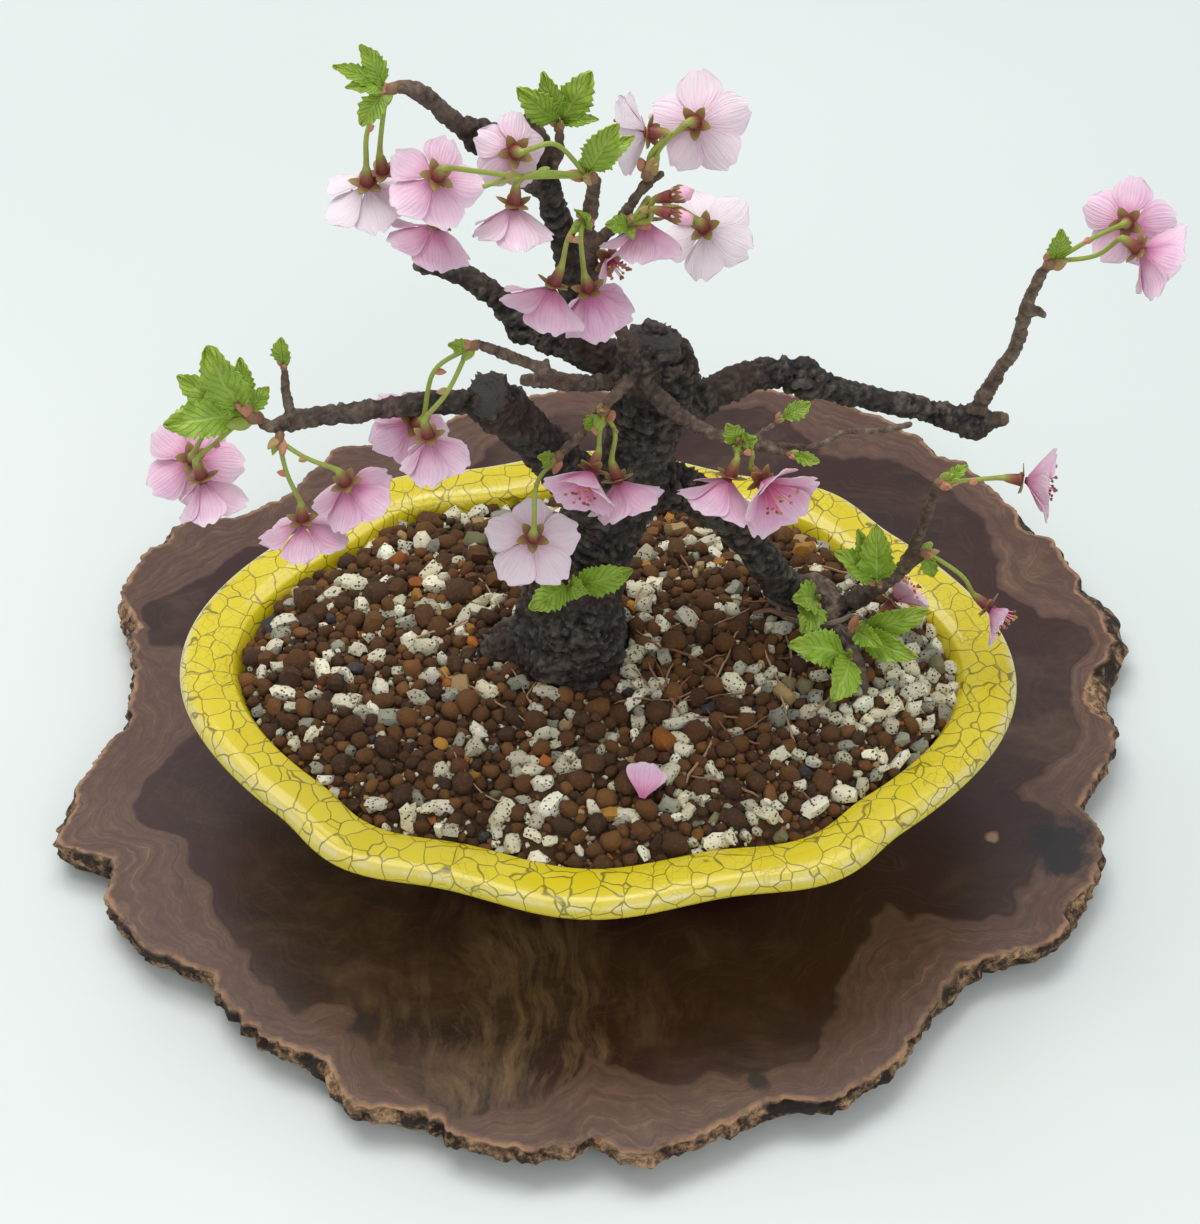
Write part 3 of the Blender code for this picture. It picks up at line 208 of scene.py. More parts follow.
SPRAYS = {
    "spray_crown_left": dict(
        seat=((-48, -2, 272), 0, (-0.8, -0.4, -0.2)), bud=2.2,
        blooms=[("crown_white", (-55, -6, 262))],
        spent=[((-52, -5, 248), (0.1, 0, -1), (-52, -4, 260))],
        leaves=[((-56, -2, 284), 4.5), ((-62, -8, 282), 4), ((-59, -11, 278), 3.5), ((-56, -11, 267), 5)]),
    "spray_upper_left": dict(
        seat=((-1, 5, 240), 0, (-0.55, -0.45, 0.7)), bud=2.6,
        blooms=[("upper_left_back", (-18, -6, 249)), ("upper_left_low", (-22, -9, 250)),
                ("upper_left_behind", (-10, -1, 255)), ("upper_left_near", (-14, -7, 251))],
        spent=[],
        leaves=[((5, 0, 261), 7), ((9, 7, 252), 4)]),
    "spray_upper_mid": dict(
        seat=((-2, 9, 226), 1.9, (-0.3, -0.9, 0.3)), bud=2.2,
        blooms=[("upper_mid_left", (-7, 0, 226)), ("upper_mid_right", (-4, -1, 226))],
        spent=[],
        leaves=[((-2, 1, 232), 5)]),
    "spray_crown_right": dict(
        seat=((12, 11, 234), 1.4, (0.1, 0.1, 1)), bud=2.4,
        blooms=[("crown_right_back", (16, 13, 245)), ("crown_right_left", (13, 12, 243))],
        spent=[], leaves=[]),
    "spray_mid_right": dict(
        seat=((6, 10, 224), 1.5, (0.5, -0.8, 0.3)), bud=2.4,
        blooms=[("mid_right_white", (18, 15, 224)), ("mid_right_pink", (10, 6, 229))],
        spent=[((19, 3, 237), (0.9, -0.3, 0.5), (13, 4, 232)),
               ((19, -1, 234), (0.9, -0.5, 0.1), (13, 3, 229))],
        leaves=[((2, 1, 229), 4)]),
    "spray_inner": dict(
        seat=((-2, 14, 206), 2.1, (0.9, -0.3, -0.3)), bud=1.2,
        blooms=[("inner_small", None)], spent=[], leaves=[]),
    "spray_far_left": dict(
        seat=((-86, -21, 181), 0, (-0.8, -0.3, 0.5)), bud=3.0,
        blooms=[("far_left_back", (-97, -23, 182)), ("far_left_hanging", (-97, -28, 178))],
        spent=[],
        leaves=[((-97, -22, 206), 9), ((-109, -30, 186), 8), ((-106, -20, 194), 7), ((-90, -17, 198), 5),
                ((-83, -19, 190), 4)]),
    "spray_left": dict(
        seat=((-80, -20, 179), 2.4, (-0.2, -0.8, -0.6)), bud=1.8,
        blooms=[("left_hanging", (-79, -28, 168)), ("left_right", (-74, -26, 172))],
        spent=[], leaves=[]),
    "spray_front_left": dict(
        seat=((-30, -11, 199), 0, (-0.8, -0.5, 0)), bud=2.0,
        blooms=[("front_left_back", (-41, -15, 193)), ("front_left_near", (-37, -21, 192))],
        spent=[], leaves=[((-37, -16, 203), 3)]),
    "spray_front_low": dict(
        seat=((-9, -11, 162), 0, (-0.6, -0.6, -0.5)), bud=2.0,
        blooms=[("front_low_white", (-15, -21, 160))],
        spent=[], leaves=[((-15, -16, 165), 3)]),
    "spray_front_mid": dict(
        seat=((2, -2, 170), 1.6, (0, -0.9, 0.4)), bud=2.4,
        blooms=[("front_mid_open", (1, -11, 169)), ("front_mid_hanging", (5, -9, 168))],
        spent=[], leaves=[((-3, -8, 168), 3.6)]),
    "spray_front_right": dict(
        seat=((38, -3, 160), 1.0, (0, -0.8, 0.6)), bud=2.4,
        blooms=[("front_right_hanging", (37, -11, 163)), ("front_right_open", (41, -10, 163))],
        spent=[], leaves=[((34, -7, 170), 4.5), ((42, -9, 167), 4)]),
    "spray_right_tip": dict(
        seat=((115, 15, 207), 0, (0.5, -0.2, 0.8)), bud=2.4,
        blooms=[("right_tip_back", (125, 13, 218)), ("right_tip_side", (126, 10, 215))],
        spent=[], leaves=[((117, 13, 221), 5)]),
    "spray_low_side": dict(
        seat=((92, 8, 136), 0, (0.7, -0.3, 0.5)), bud=2.0,
        blooms=[("low_side", (103, 8, 138))], spent=[], leaves=[((100, 8, 143), 3)]),
    "spray_low_shedding": dict(
        seat=((90, 13, 104), 0, (0.9, -0.2, 0.6)), bud=1.8,
        blooms=[("low_shedding", (102, 11, 98))], spent=[], leaves=[((94, 9, 99), 4)]),
    "spray_low_hidden": dict(
        seat=((71, 5, 76), 1.4, (0.5, 0.3, 0.8)), bud=2.2,
        blooms=[("low_hidden", None)], spent=[],
        leaves=[((90, -10, 86), 7), ((93, 3, 92), 7), ((80, -8, 88), 5)]),
    "leaves_top": dict(
        seat=((-10, 16, 246), 0, (0, -0.1, 1)), bud=1.8, blooms=[], spent=[],
        leaves=[((-20, 12, 262), 6), ((-14, 16, 264), 5), ((-2, 18, 263), 7), ((0, 12, 253), 3)]),
    "leaves_left_spur": dict(
        seat=((-79, -17, 194), 0, (0, 0, 1)), bud=1.3, blooms=[], spent=[],
        leaves=[((-79, -17, 205), 4)]),
    "leaves_right_spur": dict(
        seat=((47, -1, 165), 0, (0.6, 0.3, 0.7)), bud=1.1, blooms=[], spent=[],
        leaves=[((56, 2, 170), 4)]),
    "leaves_right_twig": dict(
        seat=((50, -5, 158), 0, (0.9, -0.3, 0)), bud=1.1, blooms=[], spent=[],
        leaves=[((59, -8, 158), 3)]),
    "leaves_low_back": dict(
        seat=((81, 14, 91), 1.6, (-0.5, -0.6, 0.6)), bud=1.5, blooms=[], spent=[],
        leaves=[((77, 10, 118), 8), ((66, 9, 108), 7), ((72, 12, 114), 5)]),
    "leaves_low_left": dict(
        seat=((62, 18, 79), 2.3, (0, -0.7, 0.7)), bud=1.5, blooms=[], spent=[],
        leaves=[((55, 6, 92), 8), ((58, 0, 84), 7)]),
    "leaves_low_front": dict(
        seat=((73, 0, 75), 1.0, (-0.5, -0.5, 0.7)), bud=1.3, blooms=[], spent=[],
        leaves=[((54, -9, 89), 9), ((66, -22, 80), 8)]),
    "leaves_trunk": dict(
        seat=((-4, 6, 104), 9.7, (-0.2, -0.9, 0.3)), bud=1.6, blooms=[], spent=[],
        leaves=[((-18, -18, 110), 7), ((10, -12, 120), 7), ((-2, -17, 116), 5)]),
}

# Scars where branches were sawn off: (middle, the way it faces, radius), and knots: (middle, radius)
SCARS = [((-29, -8, 179), (-0.53, -0.26, 0.81), 6.6), ((15, 18, 179), (0.1, 0.05, 1), 6.2)]
KNOTS = [
    ((18, 15, 168), 8.5), ((-29, 9, 249), 4.6), ((102, 29, 140), 5), ((55, 31, 153), 6),
    ((60, 18, 76), 7), ((-21, 27, 173), 5)]

# Petals: how pink each bloom is, from white at 0 to full at 1; the rest draw their own number
BLUSH = {
    "crown_white": 0.12, "crown_right_back": 0.3, "crown_right_left": 0.1, "mid_right_white": 0.08,
    "front_low_white": 0.25, "upper_left_behind": 0.5, "upper_left_near": 0.5, "low_side": 0.75,
    "front_mid_open": 1.0, "front_right_open": 1.0, "right_tip_back": 0.75, "right_tip_side": 0.8,
    "low_shedding": 0.8, "far_left_hanging": 0.7}
STALK_GREEN = (0.30, 0.38, 0.06)
CALYX_RED = (0.20, 0.040, 0.035)
SEPAL_BROWN = (0.17, 0.06, 0.03)
SEPAL_GREEN = (0.30, 0.30, 0.05)
BUD_BROWN = (0.24, 0.13, 0.07)
SCALE_TONES = [(0.30, 0.40, 0.07), (0.50, 0.22, 0.14), (0.42, 0.30, 0.12)]
# Calyx: (height over the flower's foot, radius, colour)
CALYX_CUP = [
    (-0.5, 1.75, CALYX_RED), (-1.2, 1.80, CALYX_RED), (-2.4, 1.62, CALYX_RED),
    (-3.8, 1.42, (0.24, 0.10, 0.04)), (-5.2, 1.16, (0.27, 0.22, 0.05)), (-6.0, 0.86, STALK_GREEN)]
STAMENS = 17
PETAL_THICKNESS = 0.14
LEAF_THICKNESS = 0.24
# The spray whose spent places hold closed buds
CLOSED_SPRAY = "spray_mid_right"
# Directions that blooms and leaves are turned towards, so that they show from the photo's side
VIEW_UP = Vector((0, 0.72, 0.70))
VIEW_BACK = Vector((0, -0.69, 0.72))

# Camera: its aim and distance in metres, its angles in degrees
CAMERA_AIM = Vector((0, 0.021, 0.069))
CAMERA_DISTANCE = 0.9
CAMERA_RISE = 46.0
CAMERA_SWING = 2.0
CAMERA_LENS = 90.9


class BonsaiSettings(bpy.types.PropertyGroup):
    """Colours and sizes of the bonsai that a user may change."""

    petal_pale: FloatVectorProperty(
        name="Petal", description="Colour of the petals towards their tips",
        default=(0.84, 0.51, 0.69), subtype="COLOR", min=0, max=1)
    petal_deep: FloatVectorProperty(
        name="Petal foot", description="Colour of the veins and of the foot of the petals",
        default=(0.62, 0.08, 0.26), subtype="COLOR", min=0, max=1)
    leaf: FloatVectorProperty(
        name="Leaf", description="Colour of the young leaves",
        default=(0.25, 0.41, 0.032), subtype="COLOR", min=0, max=1)
    glaze: FloatVectorProperty(
        name="Glaze", description="Colour of the pot's glaze",
        default=(0.70, 0.57, 0.008), subtype="COLOR", min=0, max=1)
    crackle: FloatProperty(
        name="Crackle", description="Size of the cells between the cracks of the glaze",
        default=0.0066, min=0.002, max=0.03, unit="LENGTH")
    bark_depth: FloatProperty(
        name="Bark depth", description="Depth of the cracks between the plates of the bark",
        default=0.0011, min=0, max=0.002, unit="LENGTH")
    wood_step: FloatProperty(
        name="Wood step", description="Size of the faces that the wood is made of",
        default=0.00078, min=0.0006, max=0.003, unit="LENGTH")
    granules: IntProperty(
        name="Granules", description="Most granules that lie on the soil, before the fine grit",
        default=COARSE_GRAINS + MEDIUM_GRAINS, min=100, max=4000)
    grit: IntProperty(
        name="Grit", description="Number of the smallest grains between the granules",
        default=2200, min=0, max=4000)
    pumice: FloatProperty(
        name="Pumice", description="Share of white pumice among the granules",
        default=0.25, min=0, max=1, subtype="FACTOR")


def deselect():
    """Leave object mode with nothing selected."""
    if bpy.context.object and bpy.context.object.mode != "OBJECT":
        bpy.ops.object.mode_set(mode="OBJECT")
    bpy.ops.object.select_all(action="DESELECT")


def pick(*items):
    """Select these objects alone, with the first one active."""
    deselect()
    for item in items:
        item.select_set(True)
    bpy.context.view_layer.objects.active = items[0]


def apply_modifier(item, kind, **settings):
    """Give an object a modifier and apply it."""
    pick(item)
    modifier = item.modifiers.new(kind.title(), kind)
    for name, value in settings.items():
        setattr(modifier, name, value)
    bpy.ops.object.modifier_apply(modifier=modifier.name)


def join(items, name):
    """Join objects to one with this name."""
    pick(*items)
    if len(items) > 1:
        bpy.ops.object.join()
    items[0].name = name
    items[0].data.name = name
    return items[0]


def new_object(name, points, faces):
    """Make an object of a mesh in metres."""
    mesh = bpy.data.meshes.new(name)
    mesh.from_pydata(points, [], faces)
    item = bpy.data.objects.new(name, mesh)
    bpy.context.scene.collection.objects.link(item)
    return item


def edit_all(item):
    """Open a mesh in edit mode with all of it selected."""
    pick(item)
    bpy.ops.object.mode_set(mode="EDIT")
    bpy.ops.mesh.select_all(action="SELECT")


def turn_out(item):
    """Turn the faces of a closed mesh outwards."""
    edit_all(item)
    bpy.ops.mesh.normals_make_consistent(inside=False)
    bpy.ops.object.mode_set(mode="OBJECT")


def finish_piece(item, nodes=(), angle=50.0):
    """Settle a piece in the frame: it rides on the body and stands for its CAD nodes."""
    pick(item)
    bpy.ops.object.transform_apply(location=True, rotation=True, scale=True)
    bpy.ops.object.shade_smooth_by_angle(angle=math.radians(angle))
    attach(item, "root")
    if nodes:
        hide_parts(*nodes)


def dress(item, *looks):
    """Give an object these materials alone."""
    item.data.materials.clear()
    for look in looks:
        item.data.materials.append(look)


def paint(item, name, values, kind="FLOAT_COLOR"):
    """Store a colour or a number on every vertex."""
    layer = item.data.attributes.new(name, kind, "POINT")
    field = "color" if kind == "FLOAT_COLOR" else "value"
    layer.data.foreach_set(field, np.asarray(values, dtype=np.float32).ravel())


def paint_all(item, name, value):
    """Store the same colour, or the same number, on every vertex."""
    kind = "FLOAT" if isinstance(value, float) else "FLOAT_COLOR"
    value = value if kind == "FLOAT" else (*value, 1.0)
    paint(item, name, [value] * len(item.data.vertices), kind)


def blend(first, second, share):
    """Mix two colours, from the first at 0 to the second at 1."""
    return tuple(a + (b - a) * share for a, b in zip(first, second))


def curve_point(a, b, c, d, t):
    """Read a Catmull-Rom curve between its points b and c."""
    return 0.5 * (2 * b + (c - a) * t + (2 * a - 5 * b + 4 * c - d) * t * t
                  + (3 * b - a - 3 * c + d) * t ** 3)


def smooth_path(points, step):
    """Read a Catmull-Rom curve of (x, y, z, radius) points about every step."""
    knots = [Vector(p) for p in points]
    knots = [2 * knots[0] - knots[1]] + knots + [2 * knots[-1] - knots[-2]]
    path = []
    for a, b, c, d in zip(knots, knots[1:], knots[2:], knots[3:]):
        count = max(1, round((c - b).length / step))
        path += [curve_point(a, b, c, d, i / count) for i in range(count)]
    path.append(knots[-2])
    return path


def ring_faces(rings, count):
    """Give the faces that close a row of rings, with count points in each, to a solid."""
    faces = [tuple(reversed(range(count)))]
    for row in range(rings - 1):
        for i in range(count):
            j = (i + 1) % count
            faces.append((row * count + i, row * count + j, (row + 1) * count + j, (row + 1) * count + i))
    faces.append(tuple(range((rings - 1) * count, rings * count)))
    return faces


def tube(path, sides, start=None):
    """Give the points and faces of a closed tube along (x, y, z, radius) points, in millimetres."""
    centres = [p.xyz for p in path]
    normal = start or Vector((0.3, 0.5, 0.8))
    points = []
    for i, point in enumerate(path):
        along = (centres[min(i + 1, len(path) - 1)] - centres[max(i - 1, 0)]).normalized()
        normal = (normal - along * normal.dot(along)).normalized()
        side = along.cross(normal)
        for k in range(sides):
            angle = TAU * k / sides
            points.append(centres[i] + (normal * math.cos(angle) + side * math.sin(angle)) * point.w)
    return points, ring_faces(len(path), sides)


class Growth:
    """Tubes and buds that are put together in one mesh, with a colour on every point."""

    def __init__(self):
        self.points = []
        self.faces = []
        self.colours = []

    def add(self, points, faces, colours):
        """Add a closed part; it may have one colour, or one for each point."""
        base = len(self.points)
        self.points += [Vector(p) * MM for p in points]
        self.faces += [tuple(base + i for i in face) for face in faces]
        if isinstance(colours[0], float):
            colours = [colours] * len(points)
        self.colours += [(*colour, 1.0) for colour in colours]

    def add_tube(self, path, sides, colours, start=None):
        """Add a tube; its colours are one for each point of the path."""
        points, faces = tube(path, sides, start)
        self.add(points, faces, [colour for colour in colours for _ in range(sides)])

    def add_ball(self, centre, radius, colour, along=None, stretch=1.0):
        """Add a small ball, stretched along a way."""
        shape = bmesh.new()
        bmesh.ops.create_icosphere(shape, subdivisions=1, radius=radius)
        way = (along or Vector((0, 0, 1))).normalized()
        points = [Vector(centre) + v.co + way * v.co.dot(way) * (stretch - 1) for v in shape.verts]
        faces = [[v.index for v in face.verts] for face in shape.faces]
        shape.free()
        self.add(points, faces, colour)

    def make(self, name):
        """Make the object."""
        item = new_object(name, self.points, self.faces)
        paint(item, "tint", self.colours)
        return item


class Finish:
    """A material that is put together from nodes."""

    def __init__(self, name, **constants):
        self.material = bpy.data.materials.new(name)
        self.material.use_nodes = True
        self.tree = self.material.node_tree
        self.shader = self.tree.nodes["Principled BSDF"]
        for socket, value in constants.items():
            self.shader.inputs[socket.replace("_", " ")].default_value = value
        self.place = self.node("TexCoord").outputs["Object"]

    def node(self, kind, inputs=None, **settings):
        """Add a node; its inputs take numbers or other nodes' sockets."""
        made = self.tree.nodes.new("ShaderNode" + kind)
        for name, value in settings.items():
            setattr(made, name, value)
        for name, value in (inputs or {}).items():
            self.put(made.inputs[name], value)
        return made

    def put(self, socket, value):
        """Set a socket, or link another one to it."""
        if isinstance(value, bpy.types.NodeSocket):
            self.tree.links.new(value, socket)
        else:
            socket.default_value = value

    def cloud(self, scale, detail=3.0, rough=0.55, place=None):
        """Read a soft noise from 0 to 1, with about scale lumps to the metre."""
        made = self.node("TexNoise", {
            "Vector": place or self.place, "Scale": scale, "Detail": detail, "Roughness": rough})
        return made.outputs["Fac"]

    def warp(self, scale, detail, amount):
        """Give the place, bent by a soft noise."""
        sway = self.node("TexNoise", {"Vector": self.place, "Scale": scale, "Detail": detail})
        inputs = {"Factor": amount, 4: self.place, 5: sway.outputs["Color"]}
        return self.node("Mix", inputs, data_type="VECTOR").outputs[1]

    def turned(self, place, turn, scale):
        """Give a place that is turned flat by an angle and scaled along each axis."""
        made = self.node("Mapping", {"Vector": place, "Rotation": (0, 0, turn), "Scale": scale})
        return made.outputs["Vector"]

    def apart(self, point):
        """Measure how far the place is from a point, in metres."""
        return self.node("VectorMath", {0: self.place, 1: point}, operation="DISTANCE").outputs["Value"]

    def sheet_axes(self):
        """Give the two numbers of a sheet's map: across it, and along it from its foot."""
        split = self.node("SeparateXYZ", {"Vector": self.node("UVMap").outputs["UV"]})
        return split.outputs["X"], split.outputs["Y"]

    def cells(self, scale, feature="F1", output="Distance", place=None, even=1.0):
        """Read a pattern of cells, from a square grid at 0 to wild ones at 1."""
        made = self.node("TexVoronoi", {
            "Vector": place or self.place, "Scale": scale, "Randomness": even}, feature=feature)
        return made.outputs[output]

    def stain(self, name, output="Fac"):
        """Read what is stored on the mesh under a name."""
        return self.node("Attribute", attribute_name=name).outputs[output]

    def ramp(self, factor, *stops):
        """Turn a number into a colour, or into a shade of grey."""
        made = self.node("ValToRGB", {"Fac": factor})
        line = made.color_ramp
        while len(line.elements) < len(stops):
            line.elements.new(0.5)
        for mark, (place, colour) in zip(line.elements, stops):
            mark.position = place
            colour = (colour,) * 3 if isinstance(colour, (int, float)) else colour
            mark.color = (*colour, 1)
        return made.outputs["Color"]

    def mix(self, factor, first, second, blend="MIX"):
        """Mix two colours."""
        made = self.node("Mix", {0: factor}, data_type="RGBA", blend_type=blend)
        for socket, value in ((made.inputs[6], first), (made.inputs[7], second)):
            self.put(socket, (*value, 1) if isinstance(value, (tuple, list)) else value)
        return made.outputs[2]

    def work(self, action, first, second=0.0):
        """Work out one number from two, or from the first alone."""
        return self.node("Math", {0: first, 1: second}, operation=action).outputs[0]

    def plus(self, first, second):
        """Add two numbers."""
        return self.work("ADD", first, second)

    def minus(self, first, second):
        """Take the second number from the first."""
        return self.work("SUBTRACT", first, second)

    def times(self, first, second):
        """Multiply two numbers."""
        return self.work("MULTIPLY", first, second)

    def most(self, first, second):
        """Give the larger of two numbers."""
        return self.work("MAXIMUM", first, second)

    def done(self, colour, rough=None, height=None, depth=0.0005):
        """Link the colour, roughness and relief, and give the material."""
        self.put(self.shader.inputs["Base Color"], colour)
        if rough is not None:
            self.put(self.shader.inputs["Roughness"], rough)
        if height is not None:
            bump = self.node("Bump", {"Height": height, "Distance": depth, "Strength": 1.0})
            self.put(self.shader.inputs["Normal"], bump.outputs["Normal"])
        return self.material


def burl_finish():
    """Make the lacquered burl: swirling dark heartwood, pale towards its crumbling edge."""
    finish = Finish("burl_wood", Coat_Weight=0.10, Coat_Roughness=0.25, Specular_IOR_Level=0.35)
    warped = finish.warp(14.0, 3.0, 0.05)
    swirl = finish.cloud(1.0, 7.0, 0.70, finish.turned(warped, -0.5, (24.0, 60.0, 40.0)))
    heart = finish.ramp(swirl, (0.36, (0.022, 0.010, 0.008)), (0.50, (0.044, 0.019, 0.014)),
                        (0.62, (0.074, 0.038, 0.024)), (0.76, (0.120, 0.072, 0.042)))
    patch = finish.ramp(finish.cloud(17.0, 5.0, 0.6), (0.42, 0.0), (0.58, 1.0))
    heart = finish.mix(patch, heart, (0.034, 0.009, 0.008))
    feather = finish.cloud(1.0, 7.0, 0.72, finish.turned(warped, 0.75, (130.0, 34.0, 60.0)))
    reach = finish.plus(finish.times(finish.apart(STREAKS_MIDDLE), 6.0), finish.cloud(28.0, 4.0))
    where = finish.ramp(reach, (0.58, 1.0), (0.86, 0.0))
    streak = finish.times(finish.ramp(feather, (0.44, 0.0), (0.64, 0.9)), where)
    heart = finish.mix(streak, heart, (0.185, 0.112, 0.058))

    away = finish.minus(1.0, finish.stain("rim"))
    shore = finish.times(finish.minus(finish.cloud(17.0, 4.0, 0.5), 0.27), 0.92)
    beyond = finish.minus(away, shore)
    contour = finish.node("CombineXYZ", {
        "X": finish.times(beyond, 34.0), "Y": finish.times(finish.cloud(30.0, 2.0), 2.0)})
    lines = finish.cloud(1.0, 5.0, 0.72, contour.outputs["Vector"])
    sap = finish.ramp(lines, (0.28, (0.056, 0.026, 0.019)), (0.44, (0.112, 0.058, 0.040)),
                      (0.56, (0.150, 0.082, 0.055)), (0.74, (0.250, 0.152, 0.096)))
    dull = finish.ramp(finish.cloud(46.0, 6.0, 0.7), (0.38, 0.55), (0.60, 0.0))
    sap = finish.mix(dull, sap, (0.085, 0.036, 0.031))
    flecks = finish.ramp(finish.cloud(230.0, 6.0, 0.75), (0.40, 0.35), (0.60, 0.0))
    sap = finish.mix(flecks, sap, (0.060, 0.030, 0.024))
    inside = finish.ramp(finish.plus(finish.times(beyond, 9.0), 0.5), (0.44, 0.0), (0.60, 1.0))
    heart = finish.mix(finish.ramp(lines, (0.52, 0.0), (0.72, 0.4)), heart, (0.115, 0.060, 0.042))
    wood = finish.mix(inside, sap, heart)
    tan = finish.ramp(finish.cloud(100.0, 5.0, 0.7), (0.40, 0.1), (0.56, 0.95))
    brink = finish.times(finish.ramp(away, (0.0, 1.0), (0.010, 0.8), (0.024, 0.0)), tan)
    wood = finish.mix(brink, wood, (0.40, 0.225, 0.125))

    for (x, y), reach, tone in BURL_EYES:
        near = finish.times(finish.apart((x * MM, y * MM, SLAB_TOP * MM)), 0.5 / (reach * MM))
        edge = finish.plus(near, finish.cloud(90.0, 5.0, 0.65))
        wood = finish.mix(finish.ramp(edge, (0.76, 0.92), (0.98, 0.0)), wood, tone)

    side = finish.stain("side")
    bark = finish.ramp(finish.cloud(105.0, 7.0, 0.72), (0.36, (0.008, 0.006, 0.006)),
                       (0.46, (0.045, 0.024, 0.014)), (0.52, (0.30, 0.165, 0.082)),
                       (0.63, (0.60, 0.380, 0.205)))
    pits = finish.ramp(finish.cloud(420.0, 5.0, 0.7), (0.42, 0.6), (0.60, 0.0))
    bark = finish.mix(pits, bark, (0.030, 0.018, 0.013))
    rough = finish.plus(0.36, finish.times(side, 0.5))
    relief = finish.times(finish.cloud(420.0, 6.0, 0.7), finish.plus(side, 0.05))
    return finish.done(finish.mix(side, wood, bark), rough, relief, 0.0016)


def glaze_finish(settings):
    """Make the yellow glaze with olive cracks, worn pale along the edge of the lip."""
    finish = Finish("crackle_glaze", Coat_Weight=0.45, Coat_Roughness=0.08, Roughness=0.24,
                    Specular_IOR_Level=0.32)
    place = finish.warp(90.0, 2.0, 0.006)
    scale = 1 / settings.crackle
    crack = finish.cells(scale, "DISTANCE_TO_EDGE", place=place, even=0.8)
    crack = finish.ramp(crack, (0.0, 1.0), (0.016, 0.75), (0.036, 0.0))
    fine = finish.cells(scale * 1.9, "DISTANCE_TO_EDGE", place=place, even=0.9)
    fine = finish.ramp(fine, (0.0, 0.75), (0.030, 0.0))
    some = finish.ramp(finish.cloud(34.0, 1.0), (0.46, 0.0), (0.58, 0.8))
    lines = finish.most(crack, finish.times(fine, some))
    deep = tuple(c * k for c, k in zip(settings.glaze, (0.90, 0.86, 1.0)))
    body = finish.mix(finish.cloud(55.0, 4.0), deep, tuple(settings.glaze))
    tone = finish.cells(scale, "F1", "Color", place=place, even=0.8)
    tone = finish.ramp(tone, (0.0, 0.0), (1.0, 0.30))
    body = finish.mix(tone, body, (0.80, 0.70, 0.09))
    pale_patches = finish.ramp(finish.cloud(160.0, 4.0), (0.38, 0.25), (0.56, 1.0))
    body = finish.mix(finish.times(finish.stain("lip"), pale_patches), body, (0.74, 0.66, 0.36))
    colour = finish.mix(finish.times(lines, 0.85), body, (0.13, 0.105, 0.010))
    relief = finish.plus(finish.times(lines, -0.10), finish.cloud(28.0, 2.0))
    return finish.done(colour, None, relief, 0.0006)


def clay_finish():
    """Make the bare clay of the pot's foot."""
    finish = Finish("bare_clay")
    colour = finish.ramp(finish.cloud(500.0, 5.0), (0.3, (0.16, 0.09, 0.055)), (0.7, (0.27, 0.17, 0.11)))
    return finish.done(colour, 0.85, finish.cloud(900.0, 4.0), 0.0003)


def granule_finish(name, speckled):
    """Make baked clay, or pumice with dark specks in its pores."""
    finish = Finish(name)
    colour = finish.stain("tint", "Color")
    grain = finish.cloud(1100.0, 4.0, 0.7)
    shade = finish.ramp(grain, (0.35, 0.0), (0.7, 0.35))
    colour = finish.mix(shade, colour, (0.9, 0.9, 0.9), "MULTIPLY")
    dust = finish.ramp(finish.cloud(600.0, 5.0, 0.7), (0.50, 0.0), (0.72, 1.0))
    if speckled:
        pores = finish.ramp(finish.cells(900.0), (0.20, 1.0), (0.34, 0.0))
        some = finish.ramp(finish.cloud(420.0, 2.0), (0.40, 0.0), (0.52, 0.95))
        pores = finish.times(pores, some)
        colour = finish.mix(finish.times(dust, 0.25), colour, (0.38, 0.33, 0.20))
        colour = finish.mix(pores, colour, (0.035, 0.030, 0.022))
        grain = finish.minus(grain, pores)
    else:
        colour = finish.mix(finish.times(dust, 0.30), colour, (0.26, 0.125, 0.045))
    return finish.done(colour, 0.93, grain, 0.0006)


